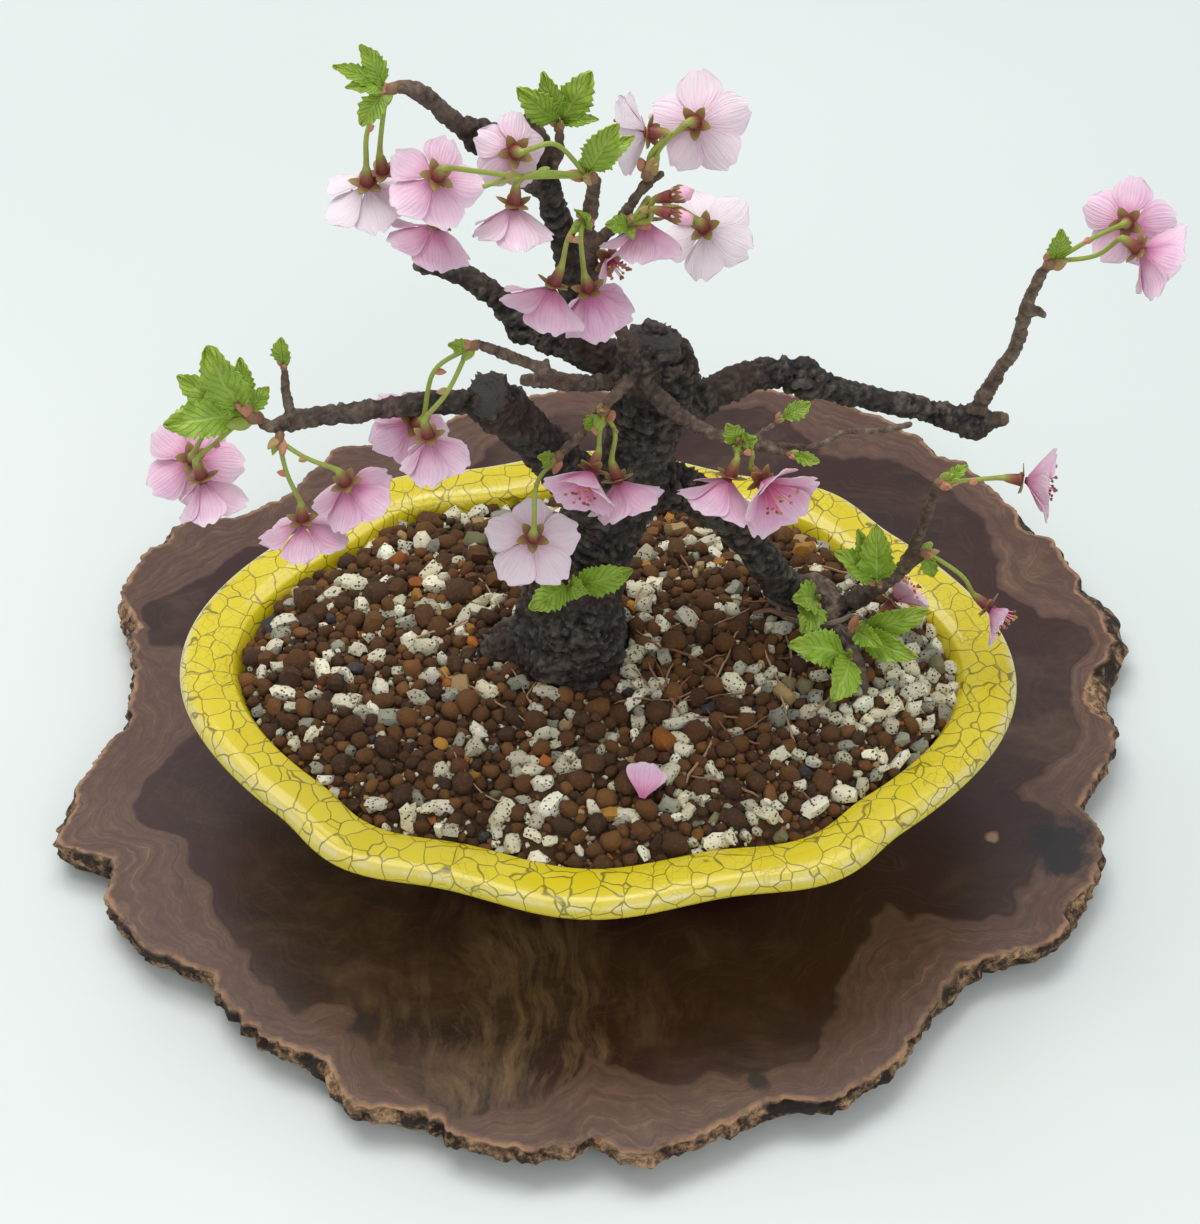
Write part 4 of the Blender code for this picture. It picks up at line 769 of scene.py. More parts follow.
def bark_finish():
    """Make the dark flaking bark, greyer and smoother on the young twigs."""
    finish = Finish("bark")
    flake = finish.stain("flake")
    # Painted shade: the colour is darkened most in the cracks between the raised plates of the bark,
    # following the stored relief
    relief_shade = finish.ramp(flake, (0.20, 0.06), (0.45, 0.60), (0.80, 1.0))
    old = finish.ramp(finish.cloud(260.0, 7.0, 0.74), (0.30, (0.012, 0.009, 0.008)),
                      (0.46, (0.040, 0.031, 0.026)), (0.60, (0.085, 0.068, 0.056)),
                      (0.78, (0.22, 0.185, 0.150)))
    old = finish.mix(1.0, old, relief_shade, "MULTIPLY")
    # Paler plate tops: partly the weathered grey of the bark's outer flakes, partly a painted highlight
    # where light catches the raised plates
    pale_patches = finish.ramp(finish.times(flake, finish.cloud(380.0, 6.0, 0.75)), (0.30, 0.0), (0.52, 0.8))
    old = finish.mix(pale_patches, old, (0.150, 0.122, 0.098))
    young = finish.ramp(finish.cloud(420.0, 6.0, 0.7), (0.30, (0.050, 0.031, 0.022)),
                        (0.44, (0.160, 0.108, 0.076)), (0.58, (0.260, 0.185, 0.135)),
                        (0.74, (0.400, 0.310, 0.240)))
    # Painted shade in the cracks of the young twigs, weaker than on the old wood
    young = finish.mix(0.4, young, relief_shade, "MULTIPLY")
    colour = finish.mix(finish.ramp(finish.stain("girth"), (0.15, 1.0), (0.25, 0.0)), old, young)
    lenticels = finish.ramp(finish.cells(230.0), (0.10, 1.0), (0.17, 0.0))
    colour = finish.mix(finish.times(lenticels, 0.3), colour, (0.20, 0.16, 0.12))
    red = finish.ramp(finish.cloud(45.0, 4.0), (0.48, 0.0), (0.64, 0.6))
    colour = finish.mix(red, colour, (0.055, 0.028, 0.018))
    rings = finish.work("SINE", finish.times(finish.stain("scar_reach"), 4.5))
    grime = finish.times(finish.cloud(300.0, 6.0, 0.7), 2.4)
    rings = finish.plus(finish.times(rings, 0.4), grime)
    sawn = finish.ramp(rings, (0.35, (0.022, 0.019, 0.019)), (1.0, (0.066, 0.056, 0.051)))
    colour = finish.mix(finish.stain("scar"), colour, sawn)
    relief = finish.plus(finish.cloud(700.0, 6.0, 0.75), lenticels)
    return finish.done(colour, 0.86, relief, 0.0007)


def petal_finish(settings):
    """Make the petals: deep at the foot, veined lengthwise, and paler towards the tip."""
    finish = Finish("petal", Subsurface_Weight=0.18, Subsurface_Scale=0.002, Roughness=0.48,
                    Sheen_Weight=0.15, Sheen_Roughness=0.5)
    finish.shader.inputs["Subsurface Radius"].default_value = (1.0, 0.5, 0.6)
    across, along = finish.sheet_axes()
    blush = finish.stain("blush")
    pale = finish.mix(blush, (0.88, 0.80, 0.84), tuple(settings.petal_pale))
    spread = finish.node("CombineXYZ", {
        "X": finish.times(across, 26.0), "Y": finish.times(along, 1.4), "Z": blush})
    ribs = finish.cloud(1.0, 2.0, 0.5, spread.outputs["Vector"])
    veins = finish.ramp(ribs, (0.45, 0.0), (0.66, 1.0))
    fade = finish.ramp(along, (0.0, 1.0), (0.45, 0.70), (0.95, 0.25))
    veins = finish.times(finish.times(veins, fade), finish.plus(finish.times(blush, 0.5), 0.1))
    foot = finish.ramp(along, (0.0, 1.0), (0.18, 0.85), (0.46, 0.28), (0.85, 0.0))
    foot = finish.times(foot, finish.plus(finish.times(blush, 0.75), 0.12))
    blotch = finish.ramp(finish.cloud(150.0, 3.0), (0.42, 0.0), (0.68, 0.45))
    colour = finish.mix(finish.times(blotch, blush), pale, (0.74, 0.36, 0.55))
    hem = finish.ramp(finish.work("ABSOLUTE", finish.minus(across, 0.5)), (0.36, 0.0), (0.5, 0.6))
    hem = finish.most(hem, finish.ramp(along, (0.72, 0.0), (1.0, 0.6)))
    colour = finish.mix(hem, colour, (0.88, 0.70, 0.81))
    colour = finish.mix(veins, colour, (0.66, 0.22, 0.42))
    colour = finish.mix(foot, colour, tuple(settings.petal_deep))
    return finish.done(colour, None, ribs, 0.00035)


def growth_finish():
    """Make the stalks, calyxes, buds and stamens from the colour that they store."""
    finish = Finish("young_growth", Subsurface_Weight=0.08, Subsurface_Scale=0.001, Roughness=0.5)
    light = finish.ramp(finish.cloud(1500.0, 3.0), (0.35, 0.0), (0.75, 0.5))
    colour = finish.mix(light, finish.stain("tint", "Color"), (1.5, 1.35, 1.2), "MULTIPLY")
    return finish.done(colour, None, finish.cloud(2200.0, 3.0), 0.0002)


def leaf_finish(settings):
    """Make the young leaves with a pale midrib and slanting veins."""
    finish = Finish("leaf", Subsurface_Weight=0.15, Subsurface_Scale=0.001, Roughness=0.42)
    across, along = finish.sheet_axes()
    off = finish.work("ABSOLUTE", finish.minus(across, 0.5))
    rib = finish.ramp(off, (0.0, 1.0), (0.07, 0.0))
    slant = finish.minus(finish.times(along, 9.0), finish.times(off, 5.0))
    slant = finish.work("ABSOLUTE", finish.minus(finish.work("FRACT", slant), 0.5))
    veins = finish.most(rib, finish.ramp(slant, (0.0, 0.8), (0.14, 0.0)))
    dark = tuple(c * 0.70 for c in settings.leaf)
    light = tuple(min(1, c * 1.35) for c in settings.leaf)
    colour = finish.mix(finish.cloud(240.0, 4.0), dark, light)
    tips = finish.ramp(along, (0.6, 0.0), (1.0, 0.35))
    colour = finish.mix(tips, colour, (0.48, 0.56, 0.05))
    colour = finish.mix(finish.times(veins, 0.5), colour, (0.46, 0.60, 0.16))
    return finish.done(colour, None, finish.minus(finish.cloud(500.0, 3.0), veins), 0.0003)


def screen_finish():
    """Make the black woven plastic of the drainage screens."""
    finish = Finish("plastic_screen", Roughness=0.6)
    weave = finish.node("TexChecker", {"Vector": finish.place, "Scale": 900.0}).outputs["Fac"]
    colour = finish.mix(weave, (0.012, 0.012, 0.013), (0.05, 0.05, 0.052))
    return finish.done(colour, None, weave, 0.0003)


def lobed_ring(inset, height, count):
    """Give the pot's eight lobed outline, drawn in by an inset, at a height."""
    ring = []
    for i in range(count):
        angle = -41 + 360 * i / count
        for edge, following in zip(LOBE_EDGES, LOBE_EDGES[1:]):
            if edge <= angle < following:
                reach = 1 - LOBE_DEPTH * math.cos(math.pi * (angle - edge) / (following - edge)) ** 2
        turn = math.radians(angle)
        ring.append(Vector(((POT_A - inset) * reach * math.cos(turn),
                            (POT_B - inset) * reach * math.sin(turn), height)))
    return ring


def loft(name, rings):
    """Make a closed object from rings of points, in millimetres."""
    points = [p * MM for ring in rings for p in ring]
    return new_object(name, points, ring_faces(len(rings), len(rings[0])))


def crumb(point, height):
    """Give how deep the slab's edge has crumbled away at a place."""
    spot = Vector((point.x, point.y, height * 1.5))
    rough = 1.7 * noise.fractal(spot * 0.17, 0.8, 2.1, 5)
    chip = noise.voronoi(spot * 0.2)[0][0]
    return max(-0.6, rough + 2.6 * (0.55 - chip))


class BONSAI_OT_slab(bpy.types.Operator):
    """Make the slab of burl wood with its crumbling live edge"""

    bl_idname = "bonsai.slab"
    bl_label = "Slab"

    def execute(self, context):
        corners = [v.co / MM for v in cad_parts["wood_slab"].data.vertices]
        corners = [p for p in corners if 10.0 < p.z < 11.0]
        corners.sort(key=lambda p: math.atan2(p.y - SLAB_MIDDLE.y, p.x - SLAB_MIDDLE.x))
        corners = [p for i, p in enumerate(corners) if (p - corners[i - 1]).length > 0.5]
        loop = [Vector((p.x, p.y, 0)) for p in corners]
        outline = []
        for a, b, c, d in zip(loop[-1:] + loop, loop, loop[1:] + loop, loop[2:] + loop):
            count = max(1, round((c - b).length / 1.1))
            for i in range(count):
                curve = curve_point(a, b, c, d, i / count)
                outline.append(b.lerp(c, i / count).lerp(curve, 0.5))
        edges = []
        for point in outline:
            wave = max(0.0, min(1.0, 0.5 + 1.25 * noise.noise(point * 0.034)))
            undercut = 2.5 + 8.5 * wave
            ledge = 6.5 * max(0.0, 1 - wave / 0.38) + 0.9
            teeth = 1.5 * noise.fractal(point * 0.21, 0.8, 2.1, 4) + 0.5
            edges.append((point, (point - SLAB_MIDDLE).normalized(), undercut, ledge, teeth))
        rings = []
        rim = []
        side = []
        for height in SLAB_EDGE_HEIGHTS:
            ring = []
            low = max(0.0, 1 - height / 9.5) ** 1.3
            high = max(0.0, (height - 7.5) / 6.4) ** 1.5
            for point, way, undercut, ledge, teeth in edges:
                shrink = undercut * low + ledge * high + teeth
                shrink += crumb(point, height) * (1.0 if height < 13.0 else 0.35)
                lift = 0.4 * noise.noise(point * 0.4) if 1 < height < 13.0 else 0.0
                ring.append(point - way * shrink + Vector((0, 0, height + lift)))
            rings.append(ring)
            rim += [1.0] * len(ring)
            side += [1.0 if height < 13.2 else 0.6 if height < 13.7 else 0.25] * len(ring)
        for inset in SLAB_TOP_INSETS:
            ring = []
            fade = max(0.0, 1 - inset / 16.0)
            for point, way, undercut, ledge, teeth in edges:
                edge = ledge + teeth + 0.35 * crumb(point, SLAB_EDGE_HEIGHTS[-1])
                shrink = min(inset + edge * fade, (point - SLAB_MIDDLE).length * 0.9)
                ring.append(point - way * shrink + Vector((0, 0, SLAB_TOP)))
            rings.append(ring)
            rim += [max(0.0, 1 - inset / SLAB_SPAN)] * len(ring)
            side += [0.0] * len(ring)
        slab = loft("burl_slab", rings)
        # rim: 1 at the edge and less inwards; side: 1 where bark is left
        paint(slab, "rim", rim, "FLOAT")
        paint(slab, "side", side, "FLOAT")
        dress(slab, burl_finish())
        turn_out(slab)
        finish_piece(slab, ["wood_slab"], 35)
        return {"FINISHED"}


class BONSAI_OT_pot(bpy.types.Operator):
    """Make the lobed pot with its rolled lip, its feet and its drainage holes"""

    bl_idname = "bonsai.pot"
    bl_label = "Pot"

    def execute(self, context):
        settings = context.scene.bonsai
        section = smooth_path([(inset, height, 0, 0) for inset, height in POT_OUTER], 1.0)
        deselect()
        bpy.ops.mesh.primitive_circle_add(vertices=POT_POINTS, radius=POT_A * MM, fill_type="NGON")
        pot = bpy.context.object
        for vert, place in zip(pot.data.vertices, lobed_ring(section[0].x, section[0].y, POT_POINTS)):
            vert.co = place * MM
        edit_all(pot)
        for here, there in zip(section, section[1:]):
            rise = (0, 0, (there.y - here.y) * MM)
            bpy.ops.mesh.extrude_edges_move(TRANSFORM_OT_translate={"value": rise})
            grow = ((POT_A - there.x) / (POT_A - here.x), (POT_B - there.x) / (POT_B - here.x), 1)
            bpy.ops.transform.resize(value=grow, center_override=(0, 0, there.y * MM))
        bpy.ops.mesh.edge_face_add()
        bpy.ops.object.mode_set(mode="OBJECT")
        feet = []
        for x, y in FOOT_PLACES:
            bpy.ops.mesh.primitive_cylinder_add(
                vertices=40, radius=13 * MM, depth=6.0 * MM, location=(x * MM, y * MM, 17.4 * MM))
            foot = bpy.context.object
            foot.scale.y = 0.6
            bpy.ops.object.transform_apply(location=True, rotation=True, scale=True)
            apply_modifier(foot, "BEVEL", width=0.8 * MM, segments=3)
            feet.append(foot)
        turn_out(pot)
        for x in (-DRAIN_X, DRAIN_X):
            deselect()
            bpy.ops.mesh.primitive_cylinder_add(
                vertices=32, radius=DRAIN_RADIUS * MM, depth=20 * MM, location=(x * MM, 0, 20 * MM))
            drill = bpy.context.object
            apply_modifier(pot, "BOOLEAN", operation="DIFFERENCE", object=drill, solver="EXACT")
            bpy.data.objects.remove(drill)
        pot = join([pot] + feet, "glazed_pot")
        lip = []
        for vert in pot.data.vertices:
            spot = vert.co / MM
            outside = math.hypot(spot.x / POT_A, spot.y / POT_B) > 0.93
            lip.append(max(0.0, 1 - abs(spot.z - LIP_HEIGHT) / 1.1) if outside else 0.0)
        paint(pot, "lip", lip, "FLOAT")
        dress(pot, glaze_finish(settings), clay_finish())
        for face in pot.data.polygons:
            spot = face.center / MM
            bare = spot.z < CLAY_HEIGHT and math.hypot(spot.x, spot.y) < CLAY_REACH
            face.material_index = 1 if bare else 0
        finish_piece(pot, ["pot"], 40)
        screen = screen_finish()
        for node in ("drainage_screen_left", "drainage_screen_right"):
            dress(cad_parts[node], screen)
        return {"FINISHED"}


def grain_shape(roundness):
    """Model one granule: a cube that is cut up and rounded off."""
    deselect()
    bpy.ops.mesh.primitive_cube_add(size=1.2)
    grain = bpy.context.object
    edit_all(grain)
    bpy.ops.mesh.subdivide(number_cuts=1)
    bpy.ops.transform.tosphere(value=roundness)
    bpy.ops.object.mode_set(mode="OBJECT")
    points = np.array([v.co for v in grain.data.vertices])
    points /= np.linalg.norm(points, axis=1).mean()
    faces = [tuple(face.vertices) for face in grain.data.polygons]
    bpy.data.objects.remove(grain)
    return points, faces


def scatter(chance, wanted, ground, taken, reach):
    """Find places for round granules on the soil, each clear of those that already lie there."""
    found = []
    for radius in wanted:
        for _ in range(TRIES):
            angle = chance.uniform(0, TAU)
            far = math.sqrt(chance.random())
            x = (POT_A - SOIL_INSET) * far * math.cos(angle)
            y = (POT_B - SOIL_INSET) * far * math.sin(angle)
            column, row = int(x // 8), int(y // 8)
            near = [p for i in (column - 1, column, column + 1) for j in (row - 1, row, row + 1)
                    for p in taken.get((i, j), [])]
            if any((x - p[0]) ** 2 + (y - p[1]) ** 2 < (reach * (radius + p[2])) ** 2 for p in near):
                continue
            height = ground(x, y)
            if height is None:
                continue
            taken.setdefault((column, row), []).append((x, y, radius))
            found.append((x, y, height, radius))
            break
    return found


def granule_mesh(name, grains, shape, chance, stretch, jag, colours):
    """Copy one granule to every place, each lumpy, turned and coloured in its own way."""
    base, faces = shape
    maker = np.random.default_rng(chance.randrange(10 ** 6))
    points = []
    tints = []
    copied = []
    for index, (x, y, z, radius) in enumerate(grains):
        axis = Vector([chance.gauss(0, 1) for _ in range(3)]).normalized()
        turn = Quaternion(axis, chance.uniform(0, TAU))
        lumps = base * (1 + maker.uniform(-jag, jag, (len(base), 1)))
        sizes = [chance.uniform(*stretch), chance.uniform(0.85, 1.05), chance.uniform(0.72, 0.95)]
        spun = (lumps * np.array(sizes) * radius) @ np.array(turn.to_matrix()).T
        points.append((spun + np.array((x, y, z + 0.30 * radius))) * MM)
        colour = chance.choice(colours)
        shade = chance.uniform(0.72, 1.22)
        tints.append(np.tile([*(min(1.0, c * shade) for c in colour), 1.0], (len(base), 1)))
        copied += [tuple(index * len(base) + i for i in face) for face in faces]
    item = new_object(name, np.concatenate(points).tolist(), copied)
    paint(item, "tint", np.concatenate(tints))
    return item


class BONSAI_OT_soil(bpy.types.Operator):
    """Fill the pot with soil, and lay baked clay, pumice and grit over it"""

    bl_idname = "bonsai.soil"
    bl_label = "Soil"

    def execute(self, context):
        settings = context.scene.bonsai
        chance = random.Random(31)
        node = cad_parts["soil"]
        bed = bpy.data.objects.new("soil_bed", node.data.copy())
        context.scene.collection.objects.link(bed)
        edit_all(bed)
        bpy.ops.mesh.remove_doubles(threshold=0.00001)
        bpy.ops.object.mode_set(mode="OBJECT")
        paint_all(bed, "tint", SOIL_BROWN)
        dress(bed, granule_finish("soil_bed", False))
        finish_piece(bed, ["soil"], 30)

        soil = tree_of(node)
        wood = tree_of(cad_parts["tree_wood"])

        def ground(x, y):
            """Give the soil's height at a place, or None where there is wood or no soil."""
            under = soil.ray_cast(Vector((x, y, SOIL_HIGHEST)) * MM, Vector((0, 0, -1)))[0]
            spot = Vector((x, y, SOIL_LEVEL)) * MM
            touch, way, _, apart = wood.find_nearest(spot)
            if not under or under.z < SOIL_LOWEST * MM or apart < 0.8 * MM:
                return None
            return under.z / MM if (spot - touch).dot(way) >= 0 else None

        share = settings.granules / (COARSE_GRAINS + MEDIUM_GRAINS)
        coarse = [chance.triangular(2.0, 4.3, 2.2) for _ in range(int(COARSE_GRAINS * share))]
        medium = [chance.uniform(1.1, 2.1) for _ in range(int(MEDIUM_GRAINS * share))]
        taken = {}
        sorts = {"baked_clay": [], "pumice": [], "mixed_grit": []}
        for x, y, z, radius in scatter(chance, sorted(coarse + medium, reverse=True), ground, taken, 0.76):
            ends = max(0.0, min(1.0, (x - 66) / 22))
            white = settings.pumice + 0.35 * noise.noise(Vector((x, y, 0)) * 0.045) + 0.55 * ends
            drawn = chance.random()
            sort = "mixed_grit" if drawn > 0.95 else "pumice" if drawn < white else "baked_clay"
            sorts[sort].append((x, y, z, min(radius, PUMICE_MOST) if sort == "pumice" else radius))
        fine = [chance.uniform(0.5, 0.95) for _ in range(settings.grit)]
        for grain in scatter(chance, fine, ground, taken, 0.62):
            sorts[chance.choice(["baked_clay", "baked_clay", "pumice", "mixed_grit"])].append(grain)
        round_shape = grain_shape(0.86)
        block_shape = grain_shape(0.76)
        clay = granule_finish("baked_clay", False)
        stone = granule_finish("pumice", True)
        looks = {
            "baked_clay": (round_shape, (0.95, 1.25), 0.14, 60, [
                (0.125, 0.050, 0.0125), (0.082, 0.033, 0.009), (0.165, 0.070, 0.017), (0.100, 0.038, 0.010),
                (0.060, 0.026, 0.010)], clay),
            "pumice": (block_shape, (1.05, 1.7), 0.27, 48, [
                (0.80, 0.745, 0.55), (0.64, 0.59, 0.43), (0.88, 0.83, 0.65), (0.34, 0.33, 0.25),
                (0.76, 0.70, 0.49)], stone),
            "mixed_grit": (block_shape, (1.0, 1.4), 0.24, 50, [
                (0.36, 0.11, 0.015), (0.44, 0.29, 0.13), (0.045, 0.042, 0.045), (0.20, 0.18, 0.09),
                (0.42, 0.20, 0.03)], clay),
        }
        for sort, grains in sorts.items():
            shape, stretch, jag, angle, colours, finish = looks[sort]
            item = granule_mesh(sort, grains, shape, chance, stretch, jag, colours)
            dress(item, finish)
            finish_piece(item, angle=angle)

        threads = Growth()
        for _ in range(DRY_THREADS):
            x = chance.triangular(-70, 84, 34)
            y = chance.triangular(-58, 44, -8)
            heading = chance.uniform(0, TAU)
            tone = chance.choice([(0.27, 0.145, 0.080), (0.20, 0.085, 0.045), (0.34, 0.21, 0.12)])
            thick = chance.uniform(0.2, 0.42)
            path = []
            for k in range(chance.randrange(7, 17)):
                height = ground(x, y)
                if height is None:
                    break
                path.append(Vector((x, y, height + chance.uniform(1.9, 2.7), thick if k else 0.5 * thick)))
                heading += chance.gauss(0, 0.13)
                x += 2.2 * math.cos(heading)
                y += 2.2 * math.sin(heading)
            if len(path) > 4:
                path[-1].w = 0.4 * thick
                threads.add_tube(path, 5, [tone] * len(path))
        for _ in range(DRY_ROOTS):
            spot = Vector(DRY_ROOTS_START)
            way = Vector((chance.gauss(0, 1), chance.gauss(-0.2, 0.8), chance.gauss(0, 0.35))).normalized()
            path = []
            for k in range(chance.randrange(7, 13)):
                path.append(Vector((*spot, max(0.35, 1.15 - 0.08 * k))))
                stray = Vector((chance.gauss(0, 0.5), chance.gauss(0, 0.5), chance.gauss(-0.05, 0.3)))
                way = (way + stray).normalized()
                spot = spot + way * 2.6
                floor = ground(spot.x, spot.y) or 73.0
                spot.z = min(SOIL_HIGHEST, max(spot.z, floor + 1.2))
            tone = chance.choice([(0.10, 0.075, 0.06), (0.20, 0.15, 0.12), (0.14, 0.07, 0.045)])
            threads.add_tube(path, 6, [tone] * len(path))
        dry = threads.make("dry_roots")
        dress(dry, growth_finish())
        turn_out(dry)
        finish_piece(dry)
        return {"FINISHED"}


def tree_of(node):
    """Give a search tree over a CAD node's faces."""
    mesh = node.data
    return BVHTree.FromPolygons([v.co for v in mesh.vertices], [tuple(p.vertices) for p in mesh.polygons])


class BONSAI_OT_wood(bpy.types.Operator):
    """Model the trunk, branches, twigs and surface roots as one piece with flaking bark"""

    bl_idname = "bonsai.wood"
    bl_label = "Wood"

    def execute(self, context):
        settings = context.scene.bonsai
        parts = []
        spine = []
        runs = []
        for name, points in WOOD.items():
            path = smooth_path(points, 2.0)
            length = 0.0
            for i, point in enumerate(path):
                step = path[min(i + 1, len(path) - 1)].xyz - path[max(i - 1, 0)].xyz
                runs.append((step.normalized(), length))
                length += 0.5 * step.length
            spine += path
            ends = [p.copy() for p in path]
            if name != "cut_branch":
                tail = (path[-1] - path[-2]).xyz.normalized()
                ends.append(Vector((*(path[-1].xyz + tail * path[-1].w * 0.5), path[-1].w * 0.6)))
            placed, faces = tube(ends, 14)
            parts.append(new_object(name, [p * MM for p in placed], faces))
        for centre, radius in KNOTS:
            deselect()
            bpy.ops.mesh.primitive_ico_sphere_add(
                subdivisions=3, radius=radius * MM, location=Vector(centre) * MM)
            bpy.ops.object.transform_apply(location=True)
            parts.append(bpy.context.object)
            spine.append(Vector((*centre, radius)))
            runs.append((Vector((0, 0, 1)), 0.0))
        wood = join(parts, "bark_and_twigs")
        apply_modifier(wood, "REMESH", mode="VOXEL", voxel_size=settings.wood_step)
        apply_modifier(wood, "SMOOTH", factor=0.5, iterations=3)

        tree = KDTree(len(spine))
        for i, point in enumerate(spine):
            tree.insert(point.xyz, i)
        tree.balance()
        girth = []
        scar = []
        scar_reach = []
        relief_shade = []
        depth = settings.bark_depth / MM
        scars = [(Vector(c), Vector(w).normalized(), r) for c, w, r in SCARS]
        normals = [v.normal.copy() for v in wood.data.vertices]
        for vert, normal in zip(wood.data.vertices, normals):
            spot = vert.co / MM
            index = min(tree.find_n(spot, 10), key=lambda found: found[2] - spine[found[1]].w)[1]
            radius = spine[index].w
            shown = 0.0
            far = 0.0
            for centre, way, size in scars:
                off = spot - centre
                across = (off - way * off.dot(way)).length
                if abs(off.dot(way)) < 1.6 and across < size and normal.dot(way) > 0.5:
                    shown = 1.0
                    far = across
            girth.append(min(1.0, radius / 12))
            scar.append(shown)
            scar_reach.append(far)
            old = min(1.0, radius / 7)
            along = runs[index][0]
            length = (spot - spine[index].xyz).dot(along) + runs[index][1]
            sway = Vector((noise.noise(spot * 0.16), noise.noise(spot * 0.16 + Vector((9, 0, 0))), 0))
            grid = spot * 0.085 + along * (length * 0.17) + sway * 0.55
            first = min(1.0, 5.0 * abs(noise.noise(grid)))
            second = min(1.0, 5.0 * abs(noise.noise(grid * 1.9 + Vector((7, 3, 1)))))
            strong = max(0.25, min(1.25, 0.75 + 1.3 * noise.noise(spot * 0.07)))
            plates = strong * (first * (0.45 + 0.55 * second) - 0.6)
            lump = 0.16 * radius * noise.noise(spot * 0.17)
            grain = noise.fractal(spot * 0.6, 0.8, 2.1, 4)
            bark = depth * (0.20 + 1.0 * old) * (1.3 * plates + 0.75 * grain)
            # The flake attribute stores the plates' relief, low in the cracks and high on the plate tops;
            # the bark's colour reads it to paint shade in the cracks and a highlight on the tops
            relief_shade.append(max(0.0, min(1.0, 0.55 + 0.6 * plates + 0.45 * grain)))
            ring = 0.26 * noise.noise(Vector((length * 0.75, 3.0 * index / len(spine), 5))) * (1 - old)
            ring += 0.14 * noise.noise(spot * 1.9) * (1 - old)
            bark = bark * min(1.0, 0.3 + radius / 4)
            move = lump + (0.15 * bark if shown else bark) + ring
            vert.co = (spot + normal * move) * MM
        paint(wood, "girth", girth, "FLOAT")
        paint(wood, "flake", relief_shade, "FLOAT")
        paint(wood, "scar", scar, "FLOAT")
        paint(wood, "scar_reach", scar_reach, "FLOAT")
        dress(wood, bark_finish())
        finish_piece(wood, ["tree_wood"], 80)
        return {"FINISHED"}


def sheet_blank(columns, rows):
    """Model a flat grid with its own UV map, from which petals, sepals and leaves are bent."""
    deselect()
    bpy.ops.mesh.primitive_grid_add(x_subdivisions=columns, y_subdivisions=rows, size=2, calc_uvs=True)
    blank = bpy.context.object
    mesh = blank.data
    bpy.data.objects.remove(blank)
    return mesh


def bend_sheet(blank, place, name):
    """Copy a flat grid and put each point where place(across -1..1, along 0..1) says, in millimetres."""
    mesh = blank.copy()
    for vert in mesh.vertices:
        vert.co = place(vert.co.x, (vert.co.y + 1) / 2) * MM
    sheet = bpy.data.objects.new(name, mesh)
    bpy.context.scene.collection.objects.link(sheet)
    return sheet


def bloom_frame(facing, turn):
    """Give a bloom's own directions: the way it faces, and two across it."""
    out = Vector(facing).normalized()
    up = (VIEW_UP - out * VIEW_UP.dot(out)).normalized()
    up = Matrix.Rotation(math.radians(turn), 3, out) @ up
    return out, up, out.cross(up)


def petal_place(out, way, foot, length, opening, chance):
    """Give the rule that bends a flat grid to a petal with a narrow foot and a ragged, notched tip."""
    beside = out.cross(way)
    half = length * chance.uniform(0.425, 0.48)
    length = length * chance.uniform(0.95, 1.02)
    opening = opening + chance.uniform(-5, 5)
    tilt = chance.uniform(0.06, 0.16)
    notch = chance.uniform(0.06, 0.13)
    seed = Vector((chance.uniform(0, 90), chance.uniform(0, 90), 0))

    def place(across, along):
        edge = abs(across)
        reached = along * length * (1 - 0.17 * edge ** 2.4 * along ** 2)
        reached -= notch * length * math.exp(-(across / 0.20) ** 2) * along ** 8
        reached += 0.28 * noise.noise(seed + Vector((across * 5, 0, 3))) * along ** 4
        if along < 0.66:
            wide = 0.15 + 0.85 * math.sin(math.pi / 2 * along / 0.66) ** 1.4
        else:
            wide = 1 - 0.40 * ((along - 0.66) / 0.34) ** 2.2
        shift = across * half * wide
        share = reached / length
        lean = math.radians(opening + 22 * (share - 0.5))
        bend = math.radians(opening + 22 * (share / 2 - 0.5))
        normal = out * math.sin(lean) - way * math.cos(lean)
        ruffle = 0.55 * noise.noise(seed + Vector((across * 1.6, along * 2.4, 0))) * along
        ruffle += 0.35 * noise.noise(seed + Vector((across * 4.5, along * 3.5, 7))) * edge * along
        fold = -0.25 * math.exp(-(across / 0.16) ** 2) * along
        centre = foot + way * (1.2 + reached * math.sin(bend)) + out * (reached * math.cos(bend))
        return centre + beside * shift + normal * (0.040 * shift * shift + tilt * shift + ruffle + fold)

    return place


